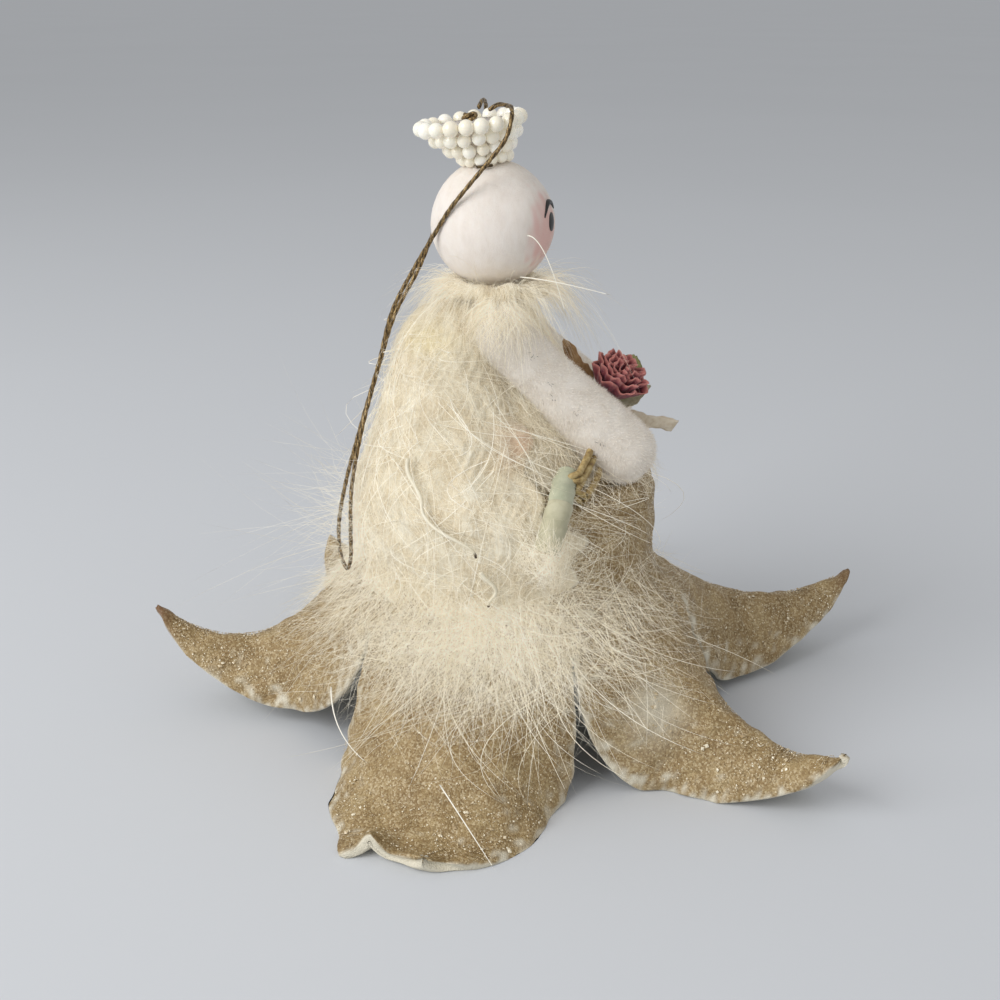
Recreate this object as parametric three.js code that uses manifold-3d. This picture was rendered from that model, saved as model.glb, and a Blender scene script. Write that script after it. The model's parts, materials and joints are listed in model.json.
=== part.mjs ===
// Angel shelf sitter: a spun-cotton doll on a glittered lily skirt, with chenille arms, a bouquet,
// a feather dress, a crown of beads and a hanging loop.
// Millimetres, +Z up. The figure faces -Y and its right side is -X.
import * as THREE from "three";
import { mergeVertices } from "three/addons/utils/BufferGeometryUtils.js";
import Module from "manifold-3d";

const wasm = await Module();
wasm.setup();

// Clearances between pieces that are glued, seated or turning
const FIT_GAP = 0.3;

// Skirt: a bell that flares into six petals
const SKIRT_WALL = 3;
const BELL_RADIUS = 31;
const BELL_SHOULDER_ROUND = 4.5;
const BELL_WALL_HEIGHT = 13;
const FLARE_HEIGHT = 10.5;
const FLARE_WIDTH = 7;
const HEM_HEIGHT = 27.5;
const HEM_SLOPE_DEG = 35;

// Petals: heading in degrees from +X, half widths before and after it, taper of the outline, height
// that the edges droop to, and the knee and tip of the midrib as reach beyond the hem and height
const PETAL_TIP_WIDTH = 2.4;
const PETAL_ROOT_REACH = 10;
const PETAL_TAPER = 0.6;
const DROOP_FROM = 0.4;
const DROOP_TO = 0.5;
const DROOP_LIFT = 0.7;
const PETALS = [
  {
    name: "petal_right", heading: 162, halfWidths: [30, 22], fullness: 3.8, edgeHeight: -0.6,
    knee: [20, -4], tip: [33, 4],
  },
  {
    name: "petal_right_front", heading: 226, halfWidths: [19, 19], fullness: 1, edgeHeight: -0.6,
    knee: [26, 1], tip: [44, 15],
  },
  {
    name: "petal_front", heading: 283, halfWidths: [19, 19], fullness: 0.95, edgeHeight: 2.4,
    knee: [28, 9], tip: [48.5, 19.5],
  },
  {
    name: "petal_left_front", heading: 338, halfWidths: [19, 19], fullness: 1.1, edgeHeight: -0.6,
    knee: [27, 3], tip: [45, 16],
  },
  {
    name: "petal_left_back", heading: 392, halfWidths: [19, 19], fullness: 1.3, edgeHeight: -0.6,
    knee: [24, 1], tip: [41, 14],
  },
  {
    name: "petal_back", heading: 448, halfWidths: [19, 19], fullness: 0.95, edgeHeight: 4.5,
    knee: [20, 7], tip: [39.5, 24],
  },
];

// Torso, neck and head; the upper body leans back over the skirt
const TORSO_HEIGHT = 39.1;
const TORSO_FOOT_SHARE = 0.71;
const TORSO_NECK_RADIUS = 6;
const TORSO_TAPER = 1.25;
const HEAD_DIAMETER = 25;
const HEAD_SINK = 0.7;
const HEAD_SET_BACK = 3.5;
const DOWEL_DIAMETER = 3.2;
const DOWEL_DEPTH_IN_HEAD = 11;

// Crown: rows of beads on a flared core
const CROWN_ROWS = 4;
const CROWN_FOOT_RADIUS = 4.7;
const CROWN_FLARE_DEG = 37;
const CROWN_TILT_DEG = 7;
const CROWN_LEAN_DEG = 16;
const FOOT_BEAD_DIAMETER = 2;
const RIM_BEAD_DIAMETER = 2.6;
const BEAD_SPACING = 0.1;
const BEAD_STRING_DIAMETER = 0.9;

// Hanging loop: the cord leaves the knot over the right rim, lies on the head and the feathers of the
// back, turns in a drop-shaped bight and comes back behind the head
const LOOP_DIAMETER = 0.9;
const LOOP_STEPS = 80;
const KNOT_RADIUS = 0.9;
const KNOT_STRAND_DIAMETER = 0.8;
const LOOP_ROUTE = [
  [-1.0, 4.2, 128.8], [-2.2, 2.6, 129.8], [-5.1, 1.0, 129.8], [-8.8, 0.6, 129.6], [-11.6, 0.9, 127.8],
  [-12.2, 2.0, 124.4], [-11.5, 4.9, 120.4], [-10.6, 8.9, 115.6], [-8.8, 12.7, 110.6], [-5.2, 16.0, 104.6],
  [-2.5, 19.7, 98.0], [-1.0, 24.2, 89.2], [-1.2, 27.3, 78.2], [-1.8, 31.4, 65.2], [-2.5, 35.1, 52.5],
  [-3.1, 36.8, 43.5], [-4.4, 36.6, 37.4], [-6.9, 35.3, 35.2], [-8.7, 34.4, 38.2], [-8.4, 34.2, 44.5],
  [-6.2, 33.7, 53.0], [-4.0, 31.1, 65.4], [0.4, 27.2, 77.6], [1.9, 23.6, 88.0], [3.6, 18.6, 96.8],
  [7.3, 15.1, 104.0], [10.7, 11.6, 111.0], [12.5, 7.6, 117.4], [13.0, 4.8, 123.6], [12.0, 3.9, 128.0],
  [8.8, 4.4, 129.8], [5.0, 5.3, 129.9], [2.6, 6.0, 129.0],
];

// Arms: tapered chenille limbs with a wire core, hinged across the shoulders
const SHOULDER_DROP = 6.6;
const SHOULDER_FORWARD = 1.2;
const ARM_LENGTH = 34.4;
const ARM_PITCH_DEG = 44.7;
const ARM_SPLAY_DEG = 2;
const ARM_SHOULDER_DIAMETER = 10.4;
const ARM_HAND_DIAMETER = 14;
const ARM_RAISE_DEG = 25;
const ARM_WIRE_DIAMETER = 1.2;
const ARM_WIRE_REACH = 30;
const ARM_WIRE_STUB = 5;

// Bouquet: stems that pass under the right arm and over the bell's shoulder
const STEM_COUNT = 5;
const STEM_DIAMETER = 1.2;
const STEM_FOOT_HEADING_DEG = 190;
const STEM_SHOULDER_HEADING_DEG = 192;
const STEM_FOOT_OVER_HEM = 21;
const STEM_CROSSING_REACH = 22;
const STEM_CROSSING_DROP = 9.6;
const STEM_TORSO_CLEARANCE = 1.82;
const BOUQUET_FROM_HAND = new THREE.Vector3(9.3, 3.6, 5.4);
const BOUQUET_AXIS = new THREE.Vector3(0.2, -0.45, 0.87).normalize();
const BOUQUET_NECK = 3;
const WRAP_WALL = 0.6;
const MINT_WRAP_START = 0.55;
const PALE_WRAP_START = 0.77;
const ROSE_DIAMETER = 11.6;
const ROSE_HEIGHT = 7;
const ROSE_RUFFLES = 8;
const ROSE_HEART_HEIGHT = 6.3;
// Rings of the bloom from its foot over the rim to its heart: shares of radius, height and ruffle
const ROSE_RINGS = [
  [0.16, 0, 0], [0.55, 0.2, 0], [0.86, 0.52, 0.04], [1, 0.84, 0.09], [0.76, 0.66, 0.05], [0.62, 1, 0.09],
  [0.4, 0.78, 0.05], [0.27, 1.04, 0.06],
];
const LEAF_THICKNESS = 0.6;
const LEAF_HOLLOW = 0.4;
const LEAF_ENDS = [0.06, 0.96];
const LEAF_FULLNESS = 0.8;
const LEAVES = [
  { name: "leaf_brown", heading: 84, length: 12.5, width: 6, rise: 0.22, curl: 0.4, colour: "#8a6a45" },
  { name: "leaf_olive", heading: 8, length: 9.8, width: 6.6, rise: 0.4, curl: 0.5, colour: "#9a9a5e" },
  { name: "leaf_pale", heading: -46, length: 12.5, width: 5.5, rise: 0.02, curl: 0.35, colour: "#d5d2b2" },
  { name: "cream_strip", heading: -85, length: 15, width: 4, rise: -0.3, curl: 0.1, colour: "#eadfca" },
];

// Feathers: a cape over the back and sides, and a tuft on one petal of each side
const CAPE_NECK_RADIUS = 17.5;
const CAPE_HEM_THICKNESS = 1.6;
const CAPE_HEM_OVER_SKIRT_HEM = 5.5;
const CAPE_TOP_EDGE_DEG = 58;
const CAPE_HEM_EDGE_DEG = 118;
const TUFT_THICKNESS = 4;
const TUFT_EDGE_THICKNESS = 1;
const TUFT_SPAN = [0.06, 0.5];
const TUFT_WIDTH = 0.8;
const TUFT_ROOT_SWELL = 0.1;
const QUILL_DIAMETER = 0.9;
const QUILL_UPPER = [[0.47, 0.45], [0.75, 0.66]];
const QUILL_LOWER = [[0.8, 0.71], [0.93, 0.76]];
const RUFF_WIDTH = 4.6;
const RUFF_HEIGHT = 4;

// Facets
const ROUND_SIDES = 24;
const SMALL_SIDES = 8;
const WRAP_SIDES = 10;
const BEAD_SIDES = 6;
const BEAD_RINGS = 4;
const THREAD_SIDES = 3;
const KNOT_SIDES = 5;
const STRAW_SIDES = 6;
const ARC_POINTS = 4;
const PETAL_GRID = [10, 8];
const CAPE_GRID = [9, 8];
const TUFT_GRID = [6, 6];
const LEAF_GRID = [6, 2];
const CURVE_POINTS = 6;
const NORMAL_STEP = 0.01;
const MERGE_TOLERANCE = 1e-4;

// Heights and radii that follow from the driving sizes
const WALL_FOOT_Z = HEM_HEIGHT + FLARE_HEIGHT;
const WALL_TOP_Z = WALL_FOOT_Z + BELL_WALL_HEIGHT;
const BELL_TOP_Z = WALL_TOP_Z + BELL_SHOULDER_ROUND;
const HEM_RADIUS = BELL_RADIUS + FLARE_WIDTH;
const TORSO_FOOT_Z = BELL_TOP_Z + FIT_GAP;
const TORSO_FOOT_RADIUS = TORSO_FOOT_SHARE * BELL_RADIUS;
const TORSO_TOP_Z = TORSO_FOOT_Z + TORSO_HEIGHT;
const HEAD_RADIUS = HEAD_DIAMETER / 2;
const HEAD_Z = TORSO_TOP_Z + HEAD_RADIUS - HEAD_SINK;
const SHOULDER_Z = TORSO_TOP_Z - SHOULDER_DROP;
const LEAN = HEAD_SET_BACK / (HEAD_Z - BELL_TOP_Z);
const STEM_FOOT_HEIGHT = HEM_HEIGHT + STEM_FOOT_OVER_HEM;
const STEM_PITCH = STEM_DIAMETER + FIT_GAP;
const BUNDLE_RADIUS = STEM_PITCH + STEM_DIAMETER / 2;
const WRAP_INNER_RADIUS = BUNDLE_RADIUS + 1.5 * FIT_GAP;
const WRAP_RADIUS = WRAP_INNER_RADIUS + WRAP_WALL;
const RUFF_Z = TORSO_TOP_Z - RUFF_HEIGHT / 4;
const CAPE_HEM_HEIGHT = HEM_HEIGHT + CAPE_HEM_OVER_SKIRT_HEM;
const CAPE_TOP_Z = RUFF_Z - RUFF_HEIGHT / 2 - FIT_GAP;
const CAPE_HEM_RADIUS = BELL_RADIUS + FIT_GAP + CAPE_HEM_THICKNESS;

const { clamp, degToRad, lerp, smoothstep } = THREE.MathUtils;
const UP = new THREE.Vector3(0, 0, 1);
const HEM_SLOPE = degToRad(HEM_SLOPE_DEG);

// Closed meshes and booleans

// A closed solid for joining and cutting, from the positions of a geometry
function solidOf(geometry) {
  const bare = new THREE.BufferGeometry();
  bare.setAttribute("position", geometry.getAttribute("position"));
  bare.setIndex(geometry.getIndex());
  const merged = mergeVertices(bare, MERGE_TOLERANCE);
  const corners = merged.getIndex().array;
  const kept = [];
  for (let i = 0; i < corners.length; i += 3) {
    const [a, b, c] = [corners[i], corners[i + 1], corners[i + 2]];
    if (a !== b && b !== c && c !== a) kept.push(a, b, c);
  }
  return new wasm.Manifold(new wasm.Mesh({
    numProp: 3,
    vertProperties: new Float32Array(merged.getAttribute("position").array),
    triVerts: new Uint32Array(kept),
  }));
}

function geometryOf(solid) {
  const mesh = solid.getMesh();
  return geometryFrom(Array.from(mesh.vertProperties), Array.from(mesh.triVerts));
}

function geometryFrom(positions, index) {
  const geometry = new THREE.BufferGeometry();
  geometry.setAttribute("position", new THREE.Float32BufferAttribute(positions, 3));
  geometry.setIndex(index);
  geometry.computeVertexNormals();
  return geometry;
}

function cut(geometry, ...cutters) {
  return geometryOf(cutters.reduce((solid, cutter) => solid.subtract(solidOf(cutter)), solidOf(geometry)));
}

function join(...geometries) {
  const [first, ...others] = geometries;
  return geometryOf(others.reduce((solid, other) => solid.add(solidOf(other)), solidOf(first)));
}

// Turns the faces of a closed geometry outwards, by the sign of its volume
function outward(geometry) {
  const index = geometry.getIndex().array;
  const position = geometry.getAttribute("position");
  const [a, b, c] = [new THREE.Vector3(), new THREE.Vector3(), new THREE.Vector3()];
  let volume = 0;
  for (let i = 0; i < index.length; i += 3) {
    a.fromBufferAttribute(position, index[i]);
    b.fromBufferAttribute(position, index[i + 1]);
    c.fromBufferAttribute(position, index[i + 2]);
    volume += a.dot(b.cross(c));
  }
  if (volume < 0) index.reverse();
  geometry.computeVertexNormals();
  return geometry;
}

// Two sheets over the same grid, joined round their edge into one closed solid
function sheetSolid([rows, columns], outer, inner) {
  const positions = [];
  const index = [];
  const stride = columns + 1;
  const layer = (rows + 1) * stride;
  for (const sheet of [outer, inner]) {
    for (let i = 0; i <= rows; i += 1) {
      for (let j = 0; j <= columns; j += 1) positions.push(...sheet(i / rows, j / columns));
    }
  }
  const at = (side, i, j) => side * layer + i * stride + j;
  const quad = (a, b, c, d) => index.push(a, b, c, a, c, d);
  for (let i = 0; i < rows; i += 1) {
    for (let j = 0; j < columns; j += 1) {
      quad(at(0, i, j), at(0, i + 1, j), at(0, i + 1, j + 1), at(0, i, j + 1));
      quad(at(1, i, j), at(1, i, j + 1), at(1, i + 1, j + 1), at(1, i + 1, j));
    }
    quad(at(0, i, 0), at(1, i, 0), at(1, i + 1, 0), at(0, i + 1, 0));
    quad(at(0, i + 1, columns), at(1, i + 1, columns), at(1, i, columns), at(0, i, columns));
  }
  for (let j = 0; j < columns; j += 1) {
    quad(at(0, 0, j + 1), at(1, 0, j + 1), at(1, 0, j), at(0, 0, j));
    quad(at(0, rows, j), at(1, rows, j), at(1, rows, j + 1), at(0, rows, j + 1));
  }
  return outward(geometryFrom(positions, index));
}

// A surface set off along its own normal
function offsetSheet(surface, distance) {
  return (u, v) => {
    const along = surface(u + NORMAL_STEP, v).sub(surface(u - NORMAL_STEP, v));
    const across = surface(u, v + NORMAL_STEP).sub(surface(u, v - NORMAL_STEP));
    return surface(u, v).addScaledVector(along.cross(across).normalize(), distance);
  };
}

// A profile of radius and height turned about the Z axis
function turned(profile, sides = ROUND_SIDES) {
  return outward(geometryOf(solidOf(new THREE.LatheGeometry(profile, sides).rotateX(Math.PI / 2))));
}

function roundSection(radius, sides = SMALL_SIDES, bore = 0) {
  const middle = new THREE.Vector2();
  const corner = (r, i) => new THREE.Vector2(r, 0).rotateAround(middle, (i * 2 * Math.PI) / sides);
  const ring = (r) => Array.from({ length: sides }, (_, i) => corner(r, i));
  const section = new THREE.Shape(ring(radius));
  if (bore > 0) section.holes.push(new THREE.Path(ring(bore)));
  return section;
}

function tube(curve, radius, steps = CURVE_POINTS, sides = SMALL_SIDES, bore = 0) {
  const section = roundSection(radius, sides, bore);
  return new THREE.ExtrudeGeometry(section, { extrudePath: curve, steps, bevelEnabled: false });
}

function piece(name, geometry, finish) {
  const mesh = new THREE.Mesh(geometry, new THREE.MeshStandardMaterial(finish));
  mesh.name = name;
  return mesh;
}

// Finishes: colour, roughness and metalness as the photograph shows them
const GLITTER = { color: "#bfa277", roughness: 0.7, metalness: 0 };
const SPUN_COTTON = { color: "#f0e6dc", roughness: 0.9, metalness: 0 };
const CHENILLE = { color: "#ece7e4", roughness: 1, metalness: 0 };
const MARABOU = { color: "#ddd2b4", roughness: 1, metalness: 0 };
const QUILL_HORN = { color: "#e6dcc0", roughness: 0.5, metalness: 0 };
const PEARL = { color: "#efe8d2", roughness: 0.3, metalness: 0 };
const METALLIC_CORD = { color: "#6f5a36", roughness: 0.45, metalness: 0.6 };
const WIRE_STEEL = { color: "#8f8f90", roughness: 0.4, metalness: 1 };
const DOWEL_WOOD = { color: "#c9a877", roughness: 0.8, metalness: 0 };
const ROSE_PAPER = { color: "#b5586a", roughness: 0.85, metalness: 0 };
const STRAW = { color: "#c9ae6b", roughness: 0.7, metalness: 0 };
const MINT_RIBBON = { color: "#b9cdb4", roughness: 0.6, metalness: 0 };
const PALE_RIBBON = { color: "#cfd6c2", roughness: 0.6, metalness: 0 };

const angel = new THREE.Group();

// Skirt bell

// The outer line of the bell from the middle of its top to the hem, grown outwards by a margin
function bellOutline(grow = 0) {
  const slope = new THREE.Vector2(Math.sin(HEM_SLOPE), Math.cos(HEM_SLOPE));
  const hem = new THREE.Vector2(HEM_RADIUS, HEM_HEIGHT).addScaledVector(slope, grow);
  const wall = BELL_RADIUS + grow;
  const round = Math.max(BELL_SHOULDER_ROUND + grow, FIT_GAP);
  const outline = new THREE.Path();
  outline.moveTo(0, WALL_TOP_Z + round);
  outline.lineTo(wall - round, WALL_TOP_Z + round);
  outline.absarc(wall - round, WALL_TOP_Z, round, Math.PI / 2, 0, true);
  outline.lineTo(wall, WALL_FOOT_Z);
  outline.quadraticCurveTo(wall, hem.y + (hem.x - wall) * Math.tan(HEM_SLOPE), hem.x, hem.y);
  return outline.getPoints(ARC_POINTS);
}

// The radius of the bell at a height, from its shoulder to its hem
function bellRadius(z) {
  if (z >= WALL_TOP_Z) {
    const over = Math.min(z - WALL_TOP_Z, BELL_SHOULDER_ROUND);
    return BELL_RADIUS - BELL_SHOULDER_ROUND + Math.sqrt(BELL_SHOULDER_ROUND ** 2 - over ** 2);
  }
  if (z >= WALL_FOOT_Z) return BELL_RADIUS;
  const rise = FLARE_WIDTH * Math.tan(HEM_SLOPE);
  const drop = FLARE_HEIGHT - rise;
  const bend = rise - drop;
  const t = Math.min((WALL_FOOT_Z - z) / (drop + Math.sqrt(drop ** 2 + bend * (WALL_FOOT_Z - z))), 1);
  return BELL_RADIUS + FLARE_WIDTH * t ** 2;
}

function dowelRoom(radius, bottom, top) {
  const column = new THREE.CylinderGeometry(radius, radius, top - bottom, ROUND_SIDES / 2);
  return leaning(column.rotateX(Math.PI / 2).translate(0, 0, (bottom + top) / 2));
}

// Slides every level back by its height over a base level
function shearBack(slope, base) {
  return new THREE.Matrix4().set(1, 0, 0, 0, 0, 1, slope, -slope * base, 0, 0, 1, 0, 0, 0, 0, 1);
}

// Leans what stands over the bell backwards, level by level
function leaning(geometry) {
  return geometry.applyMatrix4(shearBack(LEAN, BELL_TOP_Z));
}

function skirtBell() {
  const inside = bellOutline(-SKIRT_WALL).reverse();
  const shell = turned([...bellOutline(), ...inside]);
  const bore = dowelRoom(DOWEL_DIAMETER / 2 + FIT_GAP, WALL_FOOT_Z, BELL_TOP_Z + SKIRT_WALL);
  return piece("skirt_bell", cut(shell, bore), GLITTER);
}

angel.add(skirtBell());

// Petals

// The midrib leaves the hem on the bell's own slope, sinks towards the shelf and lifts at the tip
function petalMidrib(petal) {
  const root = new THREE.Vector2(HEM_RADIUS, HEM_HEIGHT);
  const down = new THREE.Vector2(Math.cos(HEM_SLOPE), -Math.sin(HEM_SLOPE));
  root.addScaledVector(down, FIT_GAP);
  const lead = root.clone().addScaledVector(down, PETAL_ROOT_REACH);
  const knee = new THREE.Vector2(HEM_RADIUS + petal.knee[0], petal.knee[1]);
  const tip = new THREE.Vector2(HEM_RADIUS + petal.tip[0], petal.tip[1]);
  return new THREE.CubicBezierCurve(root, lead, knee, tip);
}

// The top of a petal, u from hem to tip and v from one edge to the other. Its edges stay inside the
// middle lines to the next petals, narrow to the tip, and droop to the shelf between hem and tip.
function petalTop(petal, toLast, toNext) {
  const midrib = petalMidrib(petal);
  return (u, v) => {
    const along = clamp(u, 0, 1);
    const { x: radius, y: height } = midrib.getPoint(u);
    const side = 2 * v - 1;
    const [halfWidth, room] = side < 0 ? [petal.halfWidths[0], toLast] : [petal.halfWidths[1], toNext];
    const width = Math.max(halfWidth * (1 - along ** petal.fullness) ** PETAL_TAPER, PETAL_TIP_WIDTH / 2);
    const turn = degToRad(petal.heading) + side * Math.min(width / radius, room - FIT_GAP / radius);
    const droop = smoothstep(along, 0, DROOP_FROM) * (1 - DROOP_LIFT * smoothstep(along, DROOP_TO, 1));
    const edge = lerp(height, petal.edgeHeight, droop);
    const level = lerp(height, edge, side ** 2);
    return new THREE.Vector3(radius * Math.cos(turn), radius * Math.sin(turn), level);
  };
}

function petalTops() {
  const turnTo = (from, to) => degToRad((((to.heading - from.heading) % 360) + 360) % 360) / 2;
  return PETALS.map((petal, i) => {
    const last = PETALS[(i + PETALS.length - 1) % PETALS.length];
    const next = PETALS[(i + 1) % PETALS.length];
    return petalTop(petal, turnTo(last, petal), turnTo(petal, next));
  });
}

// All that lies under the shelf's surface
function belowShelf() {
  const across = 4 * HEM_RADIUS + 4 * Math.max(...PETALS.map((petal) => petal.tip[0]));
  return new THREE.BoxGeometry(across, across, HEM_HEIGHT).translate(0, 0, -HEM_HEIGHT / 2);
}

const petalSurfaces = petalTops();
PETALS.forEach((petal, i) => {
  const under = offsetSheet(petalSurfaces[i], -SKIRT_WALL);
  const whole = sheetSolid(PETAL_GRID, petalSurfaces[i], under);
  angel.add(piece(petal.name, cut(whole, belowShelf()), GLITTER));
});

// Arms

function torsoRadius(z) {
  const share = clamp((z - TORSO_FOOT_Z) / TORSO_HEIGHT, 0, 1);
  return TORSO_NECK_RADIUS + (TORSO_FOOT_RADIUS - TORSO_NECK_RADIUS) * (1 - share) ** TORSO_TAPER;
}

const SHOULDER_X = torsoRadius(SHOULDER_Z) + FIT_GAP + ARM_SHOULDER_DIAMETER / 2;

// The place of an arm, whose own +Z runs from the shoulder to the hand, at a raise of its hinge
function armPlace(side, raiseDeg = 0) {
  const pitch = degToRad(ARM_PITCH_DEG - raiseDeg);
  const splay = degToRad(ARM_SPLAY_DEG);
  const reach = new THREE.Vector3(side * Math.sin(splay), -Math.cos(pitch), -Math.sin(pitch)).normalize();
  const turn = new THREE.Quaternion().setFromUnitVectors(UP, reach);
  const shoulder = new THREE.Vector3(side * SHOULDER_X, SHOULDER_FORWARD, SHOULDER_Z);
  return new THREE.Matrix4().compose(shoulder, turn, new THREE.Vector3(1, 1, 1));
}

// A limb that swells from the shoulder to a rounded hand, grown by a margin
function limb(grow = 0) {
  const shoulder = ARM_SHOULDER_DIAMETER / 2 + grow;
  const hand = ARM_HAND_DIAMETER / 2 + grow;
  const outline = new THREE.Path();
  outline.moveTo(0, -shoulder);
  outline.absarc(0, 0, shoulder, -Math.PI / 2, 0, false);
  outline.bezierCurveTo(shoulder, ARM_LENGTH / 3, hand, ARM_LENGTH / 2, hand, ARM_LENGTH);
  outline.absarc(0, ARM_LENGTH, hand, 0, Math.PI / 2, false);
  return turned(outline.getPoints(ARC_POINTS), ROUND_SIDES / 2);
}

// The wire core: it comes out of the torso along the hinge line and bends down into the arm
function armWire(side, radius, stub, reach) {
  const place = armPlace(side);
  const hinge = new THREE.Vector3(-side, 0, 0).transformDirection(place.clone().invert());
  const inTorso = hinge.clone().multiplyScalar(ARM_SHOULDER_DIAMETER / 2 + FIT_GAP + stub);
  const bend = 4 * ARM_WIRE_DIAMETER;
  const route = new THREE.CurvePath();
  const before = hinge.clone().multiplyScalar(bend);
  const after = UP.clone().multiplyScalar(bend);
  route.add(new THREE.LineCurve3(inTorso, before));
  route.add(new THREE.QuadraticBezierCurve3(before, new THREE.Vector3(), after));
  route.add(new THREE.LineCurve3(after, UP.clone().multiplyScalar(reach)));
  return tube(route, radius, 3 * CURVE_POINTS);
}

function armRooms(side) {
  const raises = [0, ARM_RAISE_DEG / 2, ARM_RAISE_DEG];
  return raises.map((raise) => limb(FIT_GAP).applyMatrix4(armPlace(side, raise)));
}

function wireRoom(side) {
  return armWire(side, ARM_WIRE_DIAMETER / 2 + FIT_GAP, ARM_WIRE_STUB + FIT_GAP, ARM_WIRE_REACH + FIT_GAP);
}

// Bouquet stems, from their feet on the bell to the bouquet's base beside the right hand
const rightArmPlace = armPlace(-1);
const bouquetBase = new THREE.Vector3(0, 0, ARM_LENGTH).applyMatrix4(rightArmPlace).add(BOUQUET_FROM_HAND);
const stemCrossing = new THREE.Vector3(0, 0, STEM_CROSSING_REACH).applyMatrix4(rightArmPlace);
stemCrossing.z -= STEM_CROSSING_DROP;
const crossingRadius = torsoRadius(stemCrossing.z) + STEM_TORSO_CLEARANCE;
const crossingScale = crossingRadius / Math.hypot(stemCrossing.x, stemCrossing.y);
stemCrossing.multiply(new THREE.Vector3(crossingScale, crossingScale, 1));

function stemRoute() {
  const onBell = (headingDeg, radius, z) => {
    const heading = degToRad(headingDeg);
    return new THREE.Vector3(radius * Math.cos(heading), radius * Math.sin(heading), z);
  };
  const shoulder = BELL_RADIUS - BELL_SHOULDER_ROUND;
  const clear = WRAP_RADIUS + 3 * FIT_GAP;
  const bend = BELL_SHOULDER_ROUND + clear;
  return new THREE.CatmullRomCurve3([
    onBell(STEM_FOOT_HEADING_DEG, BELL_RADIUS + clear, STEM_FOOT_HEIGHT),
    onBell(STEM_SHOULDER_HEADING_DEG, shoulder + bend * Math.SQRT1_2, WALL_TOP_Z + bend * Math.SQRT1_2),
    onBell(STEM_SHOULDER_HEADING_DEG, shoulder, WALL_TOP_Z + bend),
    stemCrossing,
    bouquetBase.clone().addScaledVector(BOUQUET_AXIS, -BOUQUET_NECK),
    bouquetBase,
  ]);
}

// A stretch of a curve, set off sideways in its own cross-section
function stretch(curve, from, to, sideways = 0, upwards = 0) {
  const points = [];
  const steps = 2 * CURVE_POINTS;
  for (let i = 0; i <= steps; i += 1) {
    const share = lerp(from, to, i / steps);
    const tangent = curve.getTangentAt(share);
    const across = new THREE.Vector3().crossVectors(tangent, BOUQUET_AXIS.clone().setZ(0)).normalize();
    const over = new THREE.Vector3().crossVectors(across, tangent);
    points.push(curve.getPointAt(share).addScaledVector(across, sideways).addScaledVector(over, upwards));
  }
  return new THREE.CatmullRomCurve3(points);
}

const stems = stemRoute();
const wrapGap = (2 * FIT_GAP) / stems.getLength();
const wrapped = stretch(stems, 0, 1 - MINT_WRAP_START + wrapGap);
const bundleRoom = tube(stretch(stems, 0, 1), BUNDLE_RADIUS + FIT_GAP, 2 * CURVE_POINTS, WRAP_SIDES);
const wrapRoom = tube(wrapped, WRAP_RADIUS + 2 * FIT_GAP, 2 * CURVE_POINTS, WRAP_SIDES);

function armGroup(side, label, dents) {
  const place = armPlace(side);
  const group = new THREE.Group();
  place.decompose(group.position, group.quaternion, group.scale);
  const local = dents.map((dent) => dent.clone().applyMatrix4(place.clone().invert()));
  group.add(piece(`${label}_arm`, cut(limb(), wireRoom(side), ...local), CHENILLE));
  const wire = armWire(side, ARM_WIRE_DIAMETER / 2, ARM_WIRE_STUB, ARM_WIRE_REACH);
  group.add(piece(`${label}_arm_wire`, wire, WIRE_STEEL));
  return group;
}

const bellRoom = turned([...bellOutline(FIT_GAP), new THREE.Vector2(0, HEM_HEIGHT)]);
angel.add(armGroup(-1, "right", [bellRoom, bundleRoom, wrapRoom]));
angel.add(armGroup(1, "left", [bellRoom]));

// Torso, dowel and head

function torsoOutline(grow = 0) {
  const outline = [new THREE.Vector2(0, TORSO_FOOT_Z - grow)];
  for (let i = 0; i <= CURVE_POINTS; i += 1) {
    const z = TORSO_FOOT_Z + (TORSO_HEIGHT * i) / CURVE_POINTS;
    outline.push(new THREE.Vector2(torsoRadius(z) + grow, z - (i === 0 ? grow : 0)));
  }
  outline.push(new THREE.Vector2(0, TORSO_TOP_Z));
  return outline;
}

function headRoom(radius) {
  return new THREE.SphereGeometry(radius, ROUND_SIDES, ROUND_SIDES / 2).translate(0, HEAD_SET_BACK, HEAD_Z);
}

function torsoCone() {
  const sides = [-1, 1];
  const wires = sides.map((side) => wireRoom(side).applyMatrix4(armPlace(side)));
  const arms = sides.flatMap(armRooms);
  const bore = dowelRoom(DOWEL_DIAMETER / 2 + FIT_GAP, BELL_TOP_Z - SKIRT_WALL, HEAD_Z);
  const body = leaning(turned(torsoOutline()));
  const seat = headRoom(HEAD_RADIUS + FIT_GAP);
  return piece("torso_cone", cut(body, bore, seat, ...wires, ...arms), SPUN_COTTON);
}

const dowelTop = HEAD_Z - HEAD_RADIUS + DOWEL_DEPTH_IN_HEAD;
const headBore = dowelRoom(DOWEL_DIAMETER / 2 + FIT_GAP, TORSO_FOOT_Z, dowelTop + FIT_GAP);
angel.add(torsoCone());
const dowel = dowelRoom(DOWEL_DIAMETER / 2, BELL_TOP_Z - SKIRT_WALL, dowelTop);
angel.add(piece("neck_dowel", dowel, DOWEL_WOOD));
angel.add(piece("head_ball", cut(headRoom(HEAD_RADIUS), headBore), SPUN_COTTON));

// Crown, in a group about the middle of the head

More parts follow.
